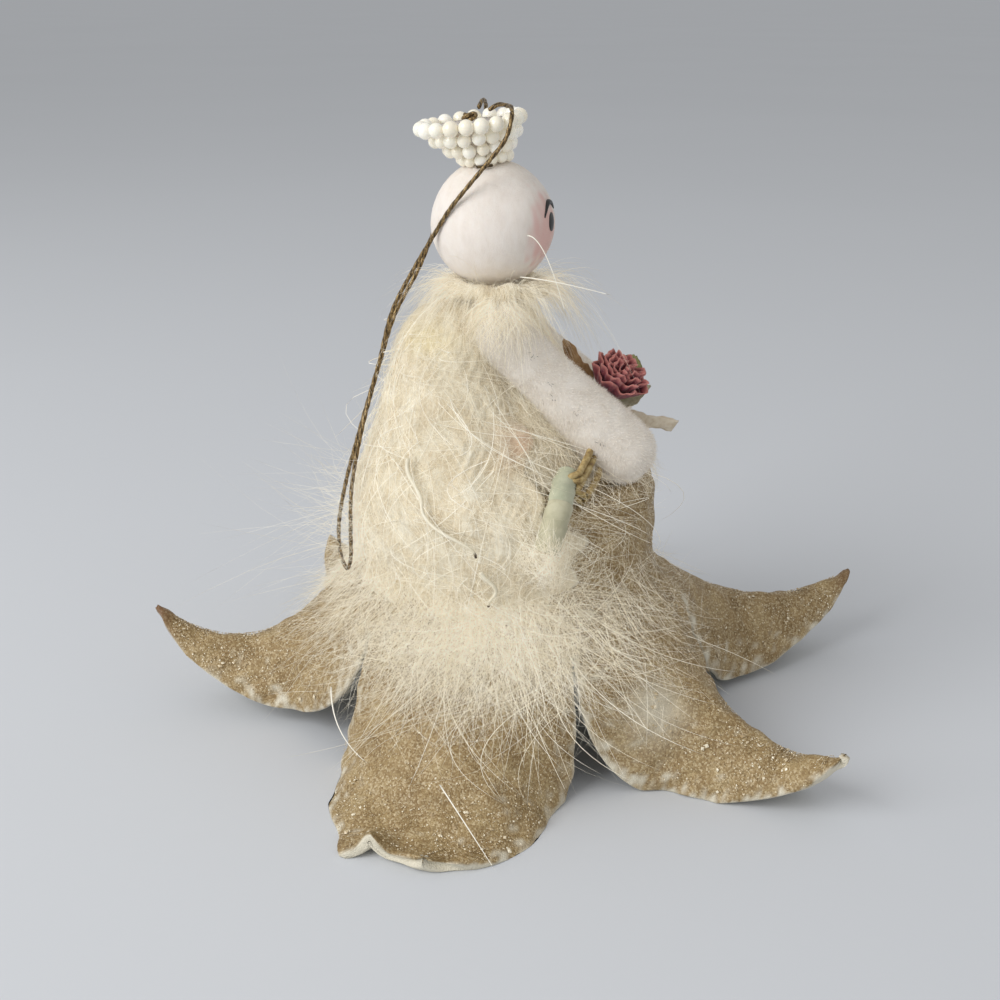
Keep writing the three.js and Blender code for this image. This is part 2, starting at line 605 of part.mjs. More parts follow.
// Radius, height, set-back and bead size of each row; a row lies one bead up the flank from the last
function crownRows() {
  const flare = degToRad(CROWN_FLARE_DEG);
  const lean = Math.tan(degToRad(CROWN_LEAN_DEG));
  const rows = [];
  let radius = CROWN_FOOT_RADIUS;
  let height = Math.sqrt((HEAD_RADIUS + FIT_GAP + FOOT_BEAD_DIAMETER / 2) ** 2 - radius ** 2);
  let setBack = 0;
  let last = FOOT_BEAD_DIAMETER;
  for (let i = 0; i < CROWN_ROWS; i += 1) {
    const bead = lerp(FOOT_BEAD_DIAMETER, RIM_BEAD_DIAMETER, i / Math.max(CROWN_ROWS - 1, 1));
    const step = i === 0 ? 0 : (last + bead) / 2 + 2 * FIT_GAP;
    radius += step * Math.sin(flare);
    height += step * Math.cos(flare);
    setBack += step * Math.cos(flare) * lean;
    rows.push({ radius, height, setBack, bead });
    last = bead;
  }
  return rows;
}

// One string of beads: the thread runs through the middle of every bead
function beadRow({ radius, height, setBack, bead }) {
  const count = Math.floor((2 * Math.PI * radius) / (bead + BEAD_SPACING));
  const thread = new THREE.TorusGeometry(radius, BEAD_STRING_DIAMETER / 2, THREAD_SIDES, count);
  const beads = Array.from({ length: count }, (_, i) => {
    const ball = new THREE.SphereGeometry(bead / 2, BEAD_SIDES, BEAD_RINGS).rotateX(Math.PI / 2);
    return ball.translate(radius, 0, 0).rotateZ((i * 2 * Math.PI) / count);
  });
  return join(thread, ...beads).translate(0, setBack, height);
}

function crownCore(rows) {
  const slant = Math.cos(degToRad(CROWN_FLARE_DEG));
  const inside = (row) => row.radius - (row.bead / 2 + FIT_GAP) / slant;
  const flank = rows.map((row) => new THREE.Vector2(inside(row), row.height));
  const [foot, rim] = [flank[0], flank[flank.length - 1]];
  const base = [new THREE.Vector2(0, 0), new THREE.Vector2(foot.x, 0)];
  const outline = [...base, ...flank, new THREE.Vector2(0, rim.y)];
  const core = turned(outline).applyMatrix4(shearBack(Math.tan(degToRad(CROWN_LEAN_DEG)), foot.y));
  return cut(core, new THREE.SphereGeometry(HEAD_RADIUS + FIT_GAP, ROUND_SIDES, ROUND_SIDES / 2));
}

function crown() {
  const group = new THREE.Group();
  group.position.set(0, HEAD_SET_BACK, HEAD_Z);
  group.rotation.x = -degToRad(CROWN_TILT_DEG);
  const rows = crownRows();
  group.add(piece("crown_core", crownCore(rows), SPUN_COTTON));
  rows.forEach((row, i) => group.add(piece(`crown_bead_row_${i + 1}`, beadRow(row), PEARL)));
  const strand = KNOT_STRAND_DIAMETER / 2;
  const knot = new THREE.TorusKnotGeometry(KNOT_RADIUS, strand, 4 * CURVE_POINTS, KNOT_SIDES, 2, 3);
  knot.computeBoundingBox();
  const rim = rows[rows.length - 1];
  knot.translate(0, rim.setBack, rim.height + FIT_GAP - knot.boundingBox.min.z);
  group.add(piece("loop_knot", knot, METALLIC_CORD));
  return group;
}

angel.add(crown());

// Hanging loop

const loopCurve = new THREE.CatmullRomCurve3(LOOP_ROUTE.map((point) => new THREE.Vector3(...point)));
angel.add(piece("hanging_loop", tube(loopCurve, LOOP_DIAMETER / 2, LOOP_STEPS), METALLIC_CORD));

// Bouquet

function strawStems() {
  const around = Array.from({ length: STEM_COUNT - 1 }, (_, i) => (i * 2 * Math.PI) / (STEM_COUNT - 1));
  const ring = around.map((turn) => [STEM_PITCH * Math.cos(turn), STEM_PITCH * Math.sin(turn)]);
  const places = [[0, 0], ...ring];
  return places.map(([sideways, upwards], i) => {
    const curve = stretch(stems, wrapGap, 1, sideways, upwards);
    const stem = tube(curve, STEM_DIAMETER / 2, 2 * CURVE_POINTS, STRAW_SIDES);
    return piece(`straw_stem_${i + 1}`, stem, STRAW);
  });
}

function wrap(name, from, to, finish) {
  const curve = stretch(stems, 1 - to, 1 - from);
  return piece(name, tube(curve, WRAP_RADIUS, CURVE_POINTS, WRAP_SIDES, WRAP_INNER_RADIUS), finish);
}

// A bloom of three ruffled rings, one inside the other, on a cup-shaped base
function roseHead() {
  const sides = 3 * ROSE_RUFFLES;
  const positions = [0, 0, 0];
  const index = [];
  ROSE_RINGS.forEach(([radius, height, ruffle], ring) => {
    for (let i = 0; i < sides; i += 1) {
      const turn = (i * 2 * Math.PI) / sides;
      const wave = ruffle * Math.cos(ROSE_RUFFLES * turn + ring);
      const out = (ROSE_DIAMETER / 2) * (radius + wave);
      positions.push(out * Math.cos(turn), out * Math.sin(turn), ROSE_HEIGHT * (height + wave / 2));
    }
  });
  positions.push(0, 0, ROSE_HEART_HEIGHT);
  const top = positions.length / 3 - 1;
  const at = (ring, i) => 1 + ring * sides + (i % sides);
  const heart = ROSE_RINGS.length - 1;
  for (let i = 0; i < sides; i += 1) {
    index.push(0, at(0, i + 1), at(0, i), top, at(heart, i), at(heart, i + 1));
    for (let ring = 0; ring < heart; ring += 1) {
      const [a, b, c, d] = [at(ring, i), at(ring, i + 1), at(ring + 1, i + 1), at(ring + 1, i)];
      index.push(a, b, c, a, c, d);
    }
  }
  return outward(geometryFrom(positions, index));
}

// A thin leaf along +X that rises and curls as it runs out, hollowed along its middle
function leafBlade(leaf) {
  const start = (BUNDLE_RADIUS + FIT_GAP) / leaf.length;
  const blade = (u, v) => {
    const share = lerp(start, 1, u);
    const width = leaf.width * Math.sin(Math.PI * lerp(...LEAF_ENDS, clamp(u, 0, 1) ** LEAF_FULLNESS));
    const side = v - 0.5;
    const midrib = leaf.length * (leaf.rise * share + leaf.curl * share ** 2);
    const hollow = leaf.width * LEAF_HOLLOW * side ** 2;
    return new THREE.Vector3(leaf.length * share, width * side, midrib + hollow);
  };
  return sheetSolid(LEAF_GRID, blade, offsetSheet(blade, -LEAF_THICKNESS));
}

function bouquetHeads() {
  const group = new THREE.Group();
  group.position.copy(bouquetBase);
  group.quaternion.setFromUnitVectors(UP, BOUQUET_AXIS);
  const rose = piece("rose_head", roseHead(), ROSE_PAPER);
  rose.position.z = FIT_GAP;
  group.add(rose);
  for (const leaf of LEAVES) {
    const blade = piece(leaf.name, leafBlade(leaf), { color: leaf.colour, roughness: 0.8, metalness: 0 });
    blade.rotation.z = degToRad(leaf.heading);
    blade.position.z = -STEM_DIAMETER;
    group.add(blade);
  }
  return group;
}

const bouquet = new THREE.Group();
bouquet.add(...strawStems());
bouquet.add(wrap("mint_wrap", MINT_WRAP_START, PALE_WRAP_START - 2 * wrapGap, MINT_RIBBON));
bouquet.add(wrap("pale_wrap", PALE_WRAP_START, 1 - wrapGap, PALE_RIBBON));
bouquet.add(bouquetHeads());
angel.add(bouquet);

// Feathers

// The outer radius of the cape: a cone down to the bell's wall, then close along the wall and flare
function capeRadius(z) {
  const cone = lerp(CAPE_HEM_RADIUS, CAPE_NECK_RADIUS, (z - WALL_TOP_Z) / (CAPE_TOP_Z - WALL_TOP_Z));
  return z > WALL_TOP_Z ? cone : bellRadius(z) + FIT_GAP + CAPE_HEM_THICKNESS;
}

function leanAt(z) {
  return LEAN * Math.max(z - BELL_TOP_Z, 0);
}

// A point of the cape: v runs from the middle of the back round to the side's edge, u from top to hem
function capePoint(side, u, v, thickness) {
  const z = lerp(CAPE_TOP_Z, CAPE_HEM_HEIGHT, u);
  const body = z > BELL_TOP_Z ? torsoRadius(z) : bellRadius(z);
  const thinning = 1 - v ** 4;
  const thinnest = body + FIT_GAP + CAPE_HEM_THICKNESS;
  const full = Math.max(capeRadius(z), thinnest);
  const radius = thickness > 0 ? lerp(thinnest, full, thinning) : body - FIT_GAP;
  const edge = degToRad(lerp(CAPE_TOP_EDGE_DEG, CAPE_HEM_EDGE_DEG, u));
  const turn = Math.PI / 2 - side * lerp(FIT_GAP / CAPE_NECK_RADIUS, edge, v);
  return new THREE.Vector3(radius * Math.cos(turn), radius * Math.sin(turn) + leanAt(z), z);
}

function upperFeather(side, label) {
  const layer = (thickness) => (u, v) => capePoint(side, u, v, thickness);
  const solid = sheetSolid(CAPE_GRID, layer(1), layer(0));
  const torsoRoom = leaning(turned(torsoOutline(FIT_GAP)));
  return piece(`feather_${label}_upper`, cut(solid, bellRoom, torsoRoom, wrapRoom), MARABOU);
}

// A tuft that lies on a petal from the cape's hem outwards
function tuft(label, petalIndex) {
  const surface = petalSurfaces[petalIndex];
  const over = (u, v) => surface(lerp(...TUFT_SPAN, u), 0.5 + TUFT_WIDTH * (v - 0.5));
  const under = offsetSheet(over, 2 * FIT_GAP);
  const swell = (u, v) => Math.sin(Math.PI * v) * Math.sin(Math.PI * lerp(TUFT_ROOT_SWELL, 1, u));
  const thickness = (u, v) => lerp(TUFT_EDGE_THICKNESS, TUFT_THICKNESS, swell(u, v));
  const top = (u, v) => offsetSheet(over, 2 * FIT_GAP + thickness(u, v))(u, v);
  return piece(`feather_${label}_lower`, sheetSolid(TUFT_GRID, top, under), MARABOU);
}

// A quill that lies on a surface between two of its points
function quill(name, surface, [u0, v0], [u1, v1]) {
  const points = Array.from({ length: CURVE_POINTS + 1 }, (_, i) => {
    const share = i / CURVE_POINTS;
    return surface(lerp(u0, u1, share), lerp(v0, v1, share));
  });
  const curve = new THREE.CatmullRomCurve3(points);
  return piece(name, tube(curve, QUILL_DIAMETER / 2, CURVE_POINTS, STRAW_SIDES), QUILL_HORN);
}

function neckRuff() {
  const middle = torsoRadius(RUFF_Z) + FIT_GAP + RUFF_WIDTH / 2;
  const ring = new THREE.EllipseCurve(middle, RUFF_Z, RUFF_WIDTH / 2, RUFF_HEIGHT / 2);
  const rooms = [-1, 1].flatMap(armRooms);
  const torsoRoom = leaning(turned(torsoOutline(FIT_GAP)));
  const solid = leaning(turned(ring.getPoints(CURVE_POINTS)));
  return piece("neck_ruff", cut(solid, torsoRoom, headRoom(HEAD_RADIUS + FIT_GAP), ...rooms), MARABOU);
}

const feathers = new THREE.Group();
[[-1, "right", 0], [1, "left", 4]].forEach(([side, label, petalIndex]) => {
  const lift = QUILL_DIAMETER / 2 + 2 * FIT_GAP;
  const cape = offsetSheet((u, v) => capePoint(side, u, v, 1), -side * lift);
  feathers.add(upperFeather(side, label));
  feathers.add(tuft(label, petalIndex));
  feathers.add(quill(`quill_${label}_upper`, cape, ...QUILL_UPPER));
  feathers.add(quill(`quill_${label}_lower`, cape, ...QUILL_LOWER));
});
feathers.add(neckRuff());
angel.add(feathers);

// The origin is the middle of the shelf area that the figure covers
const shelfSitter = new THREE.Group();
shelfSitter.add(angel);
angel.updateMatrixWorld(true);
const cover = new THREE.Box3().setFromObject(angel, true);
angel.position.set(-(cover.min.x + cover.max.x) / 2, -(cover.min.y + cover.max.y) / 2, -cover.min.z);

export default shelfSitter;
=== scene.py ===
"""Looks of an angel shelf sitter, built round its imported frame.

A lily skirt with glass glitter, a spun-cotton head with a painted face, a crown of pearls with a hanging
loop, chenille arms, a small bouquet and a dress of marabou down. Everything is in metres, in the frame's
own axes: +Z is up, the figure faces -Y and its right side is -X.
"""

import json
import logging
from dataclasses import dataclass, field, replace
from enum import Enum
from functools import partial
from typing import Callable, Iterable, Optional, Sequence

import bpy
import numpy as np
from mathutils import Matrix, Vector


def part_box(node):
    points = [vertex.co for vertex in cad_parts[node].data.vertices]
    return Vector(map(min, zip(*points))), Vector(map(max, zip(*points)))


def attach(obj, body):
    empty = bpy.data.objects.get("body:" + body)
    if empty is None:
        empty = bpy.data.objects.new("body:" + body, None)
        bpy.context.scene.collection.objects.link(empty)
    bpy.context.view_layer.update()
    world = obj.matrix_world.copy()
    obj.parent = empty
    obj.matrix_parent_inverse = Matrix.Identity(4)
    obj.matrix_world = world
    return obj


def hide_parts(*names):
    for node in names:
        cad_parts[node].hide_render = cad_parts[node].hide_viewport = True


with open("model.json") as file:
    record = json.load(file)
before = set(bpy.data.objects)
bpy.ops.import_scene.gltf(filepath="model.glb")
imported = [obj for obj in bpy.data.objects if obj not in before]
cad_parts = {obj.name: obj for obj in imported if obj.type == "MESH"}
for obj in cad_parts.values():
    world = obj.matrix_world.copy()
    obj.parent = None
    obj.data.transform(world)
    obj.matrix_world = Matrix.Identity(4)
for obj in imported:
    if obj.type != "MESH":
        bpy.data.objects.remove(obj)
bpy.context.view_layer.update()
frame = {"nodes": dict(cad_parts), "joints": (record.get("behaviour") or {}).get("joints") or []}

LOG = logging.getLogger("angel")
MM = 0.001

Array = np.ndarray
Draw = np.random.Generator
Pair = tuple[float, float]
Triple = tuple[float, float, float]
Colour = Triple
Socket = bpy.types.NodeSocket
Surface = Callable[[Array, Array], Array]


class Body(str, Enum):
    """The moving bodies of the frame."""

    FIGURE = "figure"
    RIGHT_ARM = "right_arm_and_bouquet"
    LEFT_ARM = "left_arm_stem"


class Mark(str, Enum):
    """Values that a mesh carries for its material, one per point."""

    TINT = "tint"
    TIP = "tip"
    BARE = "bare"
    STAIN = "stain"
    BLUSH = "blush"
    GROOVE_SHADE_AND_DARK_THREAD = "ply"


# Numbers and curves


def mm(*sizes: float) -> tuple[float, ...]:
    """Sizes given in millimetres, in metres."""
    return tuple(size * MM for size in sizes)


def smoothstep(value: Array, low: float, high: float) -> Array:
    """Rises smoothly from 0 at low to 1 at high: 3t squared minus 2t cubed, with t the share of the way."""
    share = np.clip((value - low) / (high - low), 0, 1)
    return share * share * (3 - 2 * share)


def lerp(first: Array, last: Array, share: Array) -> Array:
    """The value a share of the way from first to last."""
    return first + (last - first) * share


def unit(vectors: Array) -> Array:
    """Vectors of length 1 along the last axis."""
    return vectors / np.maximum(np.linalg.norm(vectors, axis=-1, keepdims=True), 1e-12)


def full_turn(count: int) -> Array:
    """Equal turns round a circle, from 0."""
    return np.arange(count) * 2 * np.pi / count


def turned(radius: Array, turn: Array, height: Array) -> Array:
    """Points at a radius and a turn about the Z axis, at a height."""
    return np.stack(np.broadcast_arrays(radius * np.cos(turn), radius * np.sin(turn), height), -1)


def bell_curve(distance: Array, width: float) -> Array:
    """1 where the distance is 0, falling off to both sides within about two widths."""
    return np.exp(-(distance / width) ** 2)


def parabolas(first: Array, middle: Array, last: Array, steps: int) -> Array:
    """Arcs from first to last that pass middle halfway; all three hold one point per arc."""
    t = np.linspace(0, 1, steps)[None, :, None]
    pull = 2 * middle - (first + last) / 2
    return first * (1 - t) ** 2 + 2 * pull * t * (1 - t) + last * t ** 2


def sideways(path: Array, beside: Array) -> tuple[Array, Array]:
    """Two unit vectors at each point of a path, square to it and to each other, the first to beside too."""
    tangent = unit(np.gradient(path, axis=0))
    across = unit(np.cross(tangent, beside))
    return across, np.cross(across, tangent)


def lumps(points: Array, size: float, seed: int, waves: int = 9) -> Array:
    """Soft unevenness over space: the mean of sine waves in random directions.

    Args:
        points: Points of any shape, with x, y, z along the last axis.
        size: The length of a wave.
        seed: Picks the waves.
        waves: How many sine waves are summed.

    Returns:
        One value per point, mostly between -1 and 1.
    """
    draw = np.random.default_rng(seed)
    directions = unit(draw.normal(size=(waves, 3))) * draw.uniform(0.6, 1.6, (waves, 1))
    phases = points @ (directions.T * 2 * np.pi / size) + draw.uniform(0, 2 * np.pi, waves)
    return np.sin(phases).sum(axis=-1) * np.sqrt(2 / waves)


def route(knots: Array, count: int, start: float = 0.0, end: float = 1.0) -> Array:
    """A smooth curve through the knots, in points of equal spacing.

    Each stretch is a cubic between two knots whose end slopes follow the square roots of the distances to
    the knots before and after, so the curve makes no loops.

    Args:
        knots: The points that the curve passes through.
        count: How many points come back.
        start: The share of the curve's length at which the points start.
        end: The share at which they end.

    Returns:
        The points, from start to end.
    """
    before = 2 * knots[0] - knots[1]
    after = 2 * knots[-1] - knots[-2]
    padded = np.vstack([before, knots, after])
    p0, p1, p2, p3 = padded[:-3], padded[1:-2], padded[2:-1], padded[3:]
    gap = np.sqrt(np.linalg.norm(np.diff(padded, axis=0), axis=1))[:, None]
    d0, d1, d2 = gap[:-2], gap[1:-1], gap[2:]
    leave = ((p1 - p0) / d0 - (p2 - p0) / (d0 + d1) + (p2 - p1) / d1) * d1
    arrive = ((p2 - p1) / d1 - (p3 - p1) / (d1 + d2) + (p3 - p2) / d2) * d1
    t = np.linspace(0, 1, 60, endpoint=False)[None, :, None]
    p1, p2, leave, arrive = (a[:, None, :] for a in (p1, p2, leave, arrive))
    bend = 3 * (p2 - p1) - 2 * leave - arrive
    twist = 2 * (p1 - p2) + leave + arrive
    fine = np.vstack([(p1 + t * (leave + t * (bend + t * twist))).reshape(-1, 3), knots[-1]])
    run = np.concatenate([[0], np.cumsum(np.linalg.norm(np.diff(fine, axis=0), axis=1))])
    at = np.linspace(start, end, count) * run[-1]
    return np.stack([np.interp(at, run, fine[:, axis]) for axis in range(3)], axis=1)


def normal_of(surface: Surface, u: Array, v: Array, step: float = 2e-3) -> Array:
    """Unit normals of a surface: the cross product of its slopes along u and along v."""
    along = surface(u + step, v) - surface(u - step, v)
    across = surface(u, v + step) - surface(u, v - step)
    return unit(np.cross(along, across))


# Meshes


@dataclass
class Shell:
    """A closed mesh: its points, its faces in arrays of one size each, and its marks per point."""

    points: Array
    faces: list[Array]
    marks: dict[Mark, Array] = field(default_factory=dict)

    def outward(self) -> "Shell":
        """The same shell with its faces turned outwards, by the sign of its volume."""
        volume = 0.0
        for faces in self.faces:
            a, b, c = (self.points[faces[:, i]] for i in (0, 1, 2))
            volume += np.einsum("ij,ij->", a, np.cross(b, c))
            if faces.shape[1] == 4:
                d = self.points[faces[:, 3]]
                volume += np.einsum("ij,ij->", a, np.cross(c, d))
        if volume < 0:
            self.faces = [faces[:, ::-1] for faces in self.faces]
        return self

    def with_mark(self, mark: Mark, values: Array) -> "Shell":
        """The same shell carrying one more value per point."""
        self.marks[mark] = np.broadcast_to(values, len(self.points)).astype(np.float32)
        return self


def joined(shells: Iterable[Shell]) -> Shell:
    """Several shells as the bodies of one mesh, with the marks that all of them carry."""
    group = list(shells)
    starts = np.cumsum([0] + [len(shell.points) for shell in group])
    faces = [f + start for shell, start in zip(group, starts) for f in shell.faces]
    shared = set.intersection(*(set(shell.marks) for shell in group))
    marks = {mark: np.concatenate([shell.marks[mark] for shell in group]) for mark in shared}
    return Shell(np.concatenate([shell.points for shell in group]), faces, marks)


def ring_quads(rows: int, columns: int, close_rows: bool = False) -> Array:
    """Quads of a grid that is closed along its columns and, if asked, along its rows too."""
    i, j = np.meshgrid(np.arange(rows if close_rows else rows - 1), np.arange(columns), indexing="ij")
    i2, j2 = (i + 1) % rows, (j + 1) % columns
    corners = ((i, j), (i2, j), (i2, j2), (i, j2))
    return np.stack([row * columns + column for row, column in corners], -1).reshape(-1, 4)


def sleeve(rings: Array, ends: Optional[Sequence[Array]] = None) -> Shell:
    """A closed skin over rings of points, each end closed by a fan to one point.

    Args:
        rings: Points by ring and round the ring.
        ends: The points that close the first and the last ring, by default the rings' middles.

    Returns:
        The shell, whose last two points are the ends.
    """
    rows, columns, _ = rings.shape
    first, last = (rings[0].mean(0), rings[-1].mean(0)) if ends is None else ends
    points = np.vstack([rings.reshape(-1, 3), first, last])
    j = np.arange(columns)
    j2 = (j + 1) % columns
    base = (rows - 1) * columns
    start = np.stack([np.full(columns, rows * columns), j, j2], -1)
    stop = np.stack([np.full(columns, rows * columns + 1), base + j2, base + j], -1)
    return Shell(points, [ring_quads(rows, columns), np.vstack([start, stop])]).outward()


def hoop(rings: Array) -> Shell:
    """A closed skin over rings of points whose last ring joins the first."""
    rows, columns, _ = rings.shape
    return Shell(rings.reshape(-1, 3), [ring_quads(rows, columns, close_rows=True)]).outward()


def slab(outer: Array, inner: Array) -> Shell:
    """Two sheets over the same grid, joined round their edge: each row is a ring out and back."""
    return sleeve(np.concatenate([outer, inner[:, ::-1]], axis=1))


def swept(path: Array, reach: Array, beside: Array) -> Shell:
    """A closed skin along a path, with a section that has its own reach at every turn.

    Args:
        path: The points of the middle line.
        reach: The distance from the middle line, by point of the path and by turn round it.
        beside: A direction that the path never runs along, from which the section's own axes follow.

    Returns:
        The skin, whose last two points are the path's ends.
    """
    across, over = sideways(path, beside)
    turn = full_turn(reach.shape[1])[None, :, None]
    ring = np.cos(turn) * across[:, None] + np.sin(turn) * over[:, None]
    return sleeve(path[:, None] + reach[..., None] * ring, (path[0], path[-1]))


def tube(path: Array, radius: Array, sides: int, beside: Array) -> Shell:
    """A round section carried along a path, with one radius for all or one per point."""
    reach = np.broadcast_to(np.asarray(radius, float), len(path))
    return swept(path, np.repeat(reach[:, None], sides, axis=1), beside)


def copies(points: Array, faces: list[Array], marks: Optional[dict[Mark, Array]] = None) -> Shell:
    """Many small bodies of one pattern.

    Args:
        points: Points by body and by corner of the pattern.
        faces: The pattern's faces.
        marks: Values per body.

    Returns:
        All the bodies in one shell.
    """
    count, corners, _ = points.shape
    offsets = (np.arange(count) * corners)[:, None, None]
    spread = [(pattern[None] + offsets).reshape(-1, pattern.shape[1]) for pattern in faces]
    shell = Shell(points.reshape(-1, 3), spread)
    for mark, values in (marks or {}).items():
        shell.with_mark(mark, np.repeat(values, corners))
    return shell.outward()


def strands(paths: Array, radius: Array, tint: Array, aside: Triple = (0.31, 0.17, -0.23)) -> Shell:
    """Fine hairs: each is a three-sided tube along its path that thins to a point.

    Args:
        paths: Points by hair and along the hair.
        radius: The radius at each hair's root.
        tint: A value per hair for its shade.
        aside: Turns the sections off the axes.

    Returns:
        All the hairs in one shell, marked with tint and with tip, 0 at the root and 1 at the end.
    """
    count, steps, _ = paths.shape
    tangent = unit(np.gradient(paths, axis=1))
    lean = np.roll(tangent.mean(axis=1), 1, axis=1) * (1, -1, 1) + aside
    across = unit(np.cross(tangent, lean[:, None]))
    over = np.cross(across, tangent)
    share = np.linspace(0, 1, steps)
    thin = radius[:, None] * (1 - share[None, :-1] ** 2 * 0.7)
    turn = full_turn(3)[:, None]
    ring = np.cos(turn) * across[:, :-1, None] + np.sin(turn) * over[:, :-1, None]
    body = paths[:, :-1, None] + thin[:, :, None, None] * ring
    points = np.concatenate([body.reshape(count, -1, 3), paths[:, -1:]], axis=1)
    last = 3 * (steps - 2)
    root = np.array([[2, 1, 0]])
    tip = np.array([[last, last + 1, last + 3], [last + 1, last + 2, last + 3], [last + 2, last, last + 3]])
    shell = copies(points, [ring_quads(steps - 1, 3), np.vstack([root, tip])], {Mark.TINT: tint})
    along = np.concatenate([np.repeat(share[:-1], 3), [1.0]])
    return shell.with_mark(Mark.TIP, np.tile(along, count))


def pile(roots: Array, tips: Array, width: float, tint: Array) -> Shell:
    """Short straight fibres of one width: each is a slim three-sided spike from its root to its tip."""
    return strands(np.stack([roots, tips], 1), np.full(len(roots), width / 2), tint, (0.2, 0.1, -0.3))


def flakes(centres: Array, normals: Array, widths: Array, draw: Draw) -> Shell:
    """Glass flakes of given widths: flat eight-sided grains, turned at random and tilted off the surface."""
    count = len(centres)
    axis = unit(normals + draw.normal(scale=0.35, size=(count, 3)))
    across = unit(np.cross(axis, draw.normal(size=(count, 3))))
    over = np.cross(axis, across)
    half = widths[:, None] / 2
    long = half * draw.uniform(0.7, 1.3, (count, 1))
    thick = half * 0.45
    corners = [across * half, over * long, -across * half, -over * long, axis * thick, -axis * thick]
    points = centres[:, None] + np.stack(corners, axis=1)
    ring = np.arange(4)
    top = np.stack([ring, (ring + 1) % 4, np.full(4, 4)], -1)
    under = np.stack([(ring + 1) % 4, ring, np.full(4, 5)], -1)
    return copies(points, [np.vstack([top, under])], {Mark.TINT: draw.uniform(size=count)})


def balls(centres: Array, radii: Array, tint: Array, rows: int = 8, columns: int = 14) -> Shell:
    """Round beads at their centres, each closed at both poles."""
    tilt = np.linspace(0, np.pi, rows + 1)[1:-1]
    ring = turned(np.sin(tilt)[:, None], full_turn(columns), np.cos(tilt)[:, None])
    ball = sleeve(ring, (np.array([0, 0, 1.0]), np.array([0, 0, -1.0])))
    points = centres[:, None] + radii[:, None, None] * ball.points[None]
    return copies(points, ball.faces, {Mark.TINT: tint})


# Finishes


class NodeBook:
    """A material's node tree, filled one node at a time."""

    def __init__(self, name: str) -> None:
        """Starts a material with one shader."""
        self.material = bpy.data.materials.new(name)
        self.material.use_nodes = True
        self.tree = self.material.node_tree
        self.shader = self.tree.nodes["Principled BSDF"]

    def add(self, kind: str, inputs: Optional[dict] = None, **settings: object) -> bpy.types.Node:
        """Adds a node.

        Args:
            kind: The node's type name.
            inputs: Values or sockets for the node's inputs, by name or number.
            settings: Properties of the node.

        Returns:
            The new node.
        """
        node = self.tree.nodes.new(kind)
        for name, value in settings.items():
            setattr(node, name, value)
        for name, value in (inputs or {}).items():
            self.feed(node.inputs[name], value)
        return node

    def feed(self, socket: Socket, value: object) -> None:
        """Links a socket to another, or sets its value."""
        if isinstance(value, Socket):
            self.tree.links.new(value, socket)
        else:
            socket.default_value = value

    def coordinates(self, stretch: Colour = (1, 1, 1)) -> Socket:
        """Object coordinates, stretched along the axes."""
        place = self.add("ShaderNodeTexCoord").outputs["Object"]
        return self.add("ShaderNodeMapping", {"Vector": place, "Scale": stretch}).outputs["Vector"]

    def noise(self, size: float, detail: float, place: Socket) -> Socket:
        """Noise whose features are about one size across."""
        settings = {"Vector": place, "Scale": 1 / size, "Detail": detail, "Roughness": 0.6}
        return self.add("ShaderNodeTexNoise", settings).outputs["Fac"]

    def ramp(self, share: Socket, colours: Sequence[Colour],
             span: Pair) -> Socket:
        """Colours at equal steps over a span of the share."""
        node = self.add("ShaderNodeValToRGB", {"Fac": share})
        elements = node.color_ramp.elements
        while len(elements) < len(colours):
            elements.new(1.0)
        for element, step, colour in zip(elements, np.linspace(*span, len(colours)).tolist(), colours):
            element.position = step
            element.color = (*colour, 1)
        return node.outputs["Color"]

    def mark(self, mark: Mark) -> Socket:
        """The value that the mesh carries under a mark."""
        return self.add("ShaderNodeAttribute", attribute_name=mark.value).outputs["Fac"]

    def sums(self, operation: str, first: object, second: object) -> Socket:
        """A sum of two values, kept between 0 and 1."""
        node = self.add("ShaderNodeMath", {0: first, 1: second}, operation=operation, use_clamp=True)
        return node.outputs[0]

    def mix(self, share: object, first: object, second: object) -> Socket:
        """The colour a share of the way from the first to the second."""
        node = self.add("ShaderNodeMix", data_type="RGBA")
        for place, value in ((0, share), (6, first), (7, second)):
            self.feed(node.inputs[place], value if not isinstance(value, tuple) else (*value, 1))
        return node.outputs[2]

    def bump(self, height: Socket, depth: float) -> None:
        """Relief of one depth on the shader, from a height between 0 and 1."""
        node = self.add("ShaderNodeBump", {"Height": height, "Distance": depth, "Strength": 1.0})
        self.feed(self.shader.inputs["Normal"], node.outputs["Normal"])


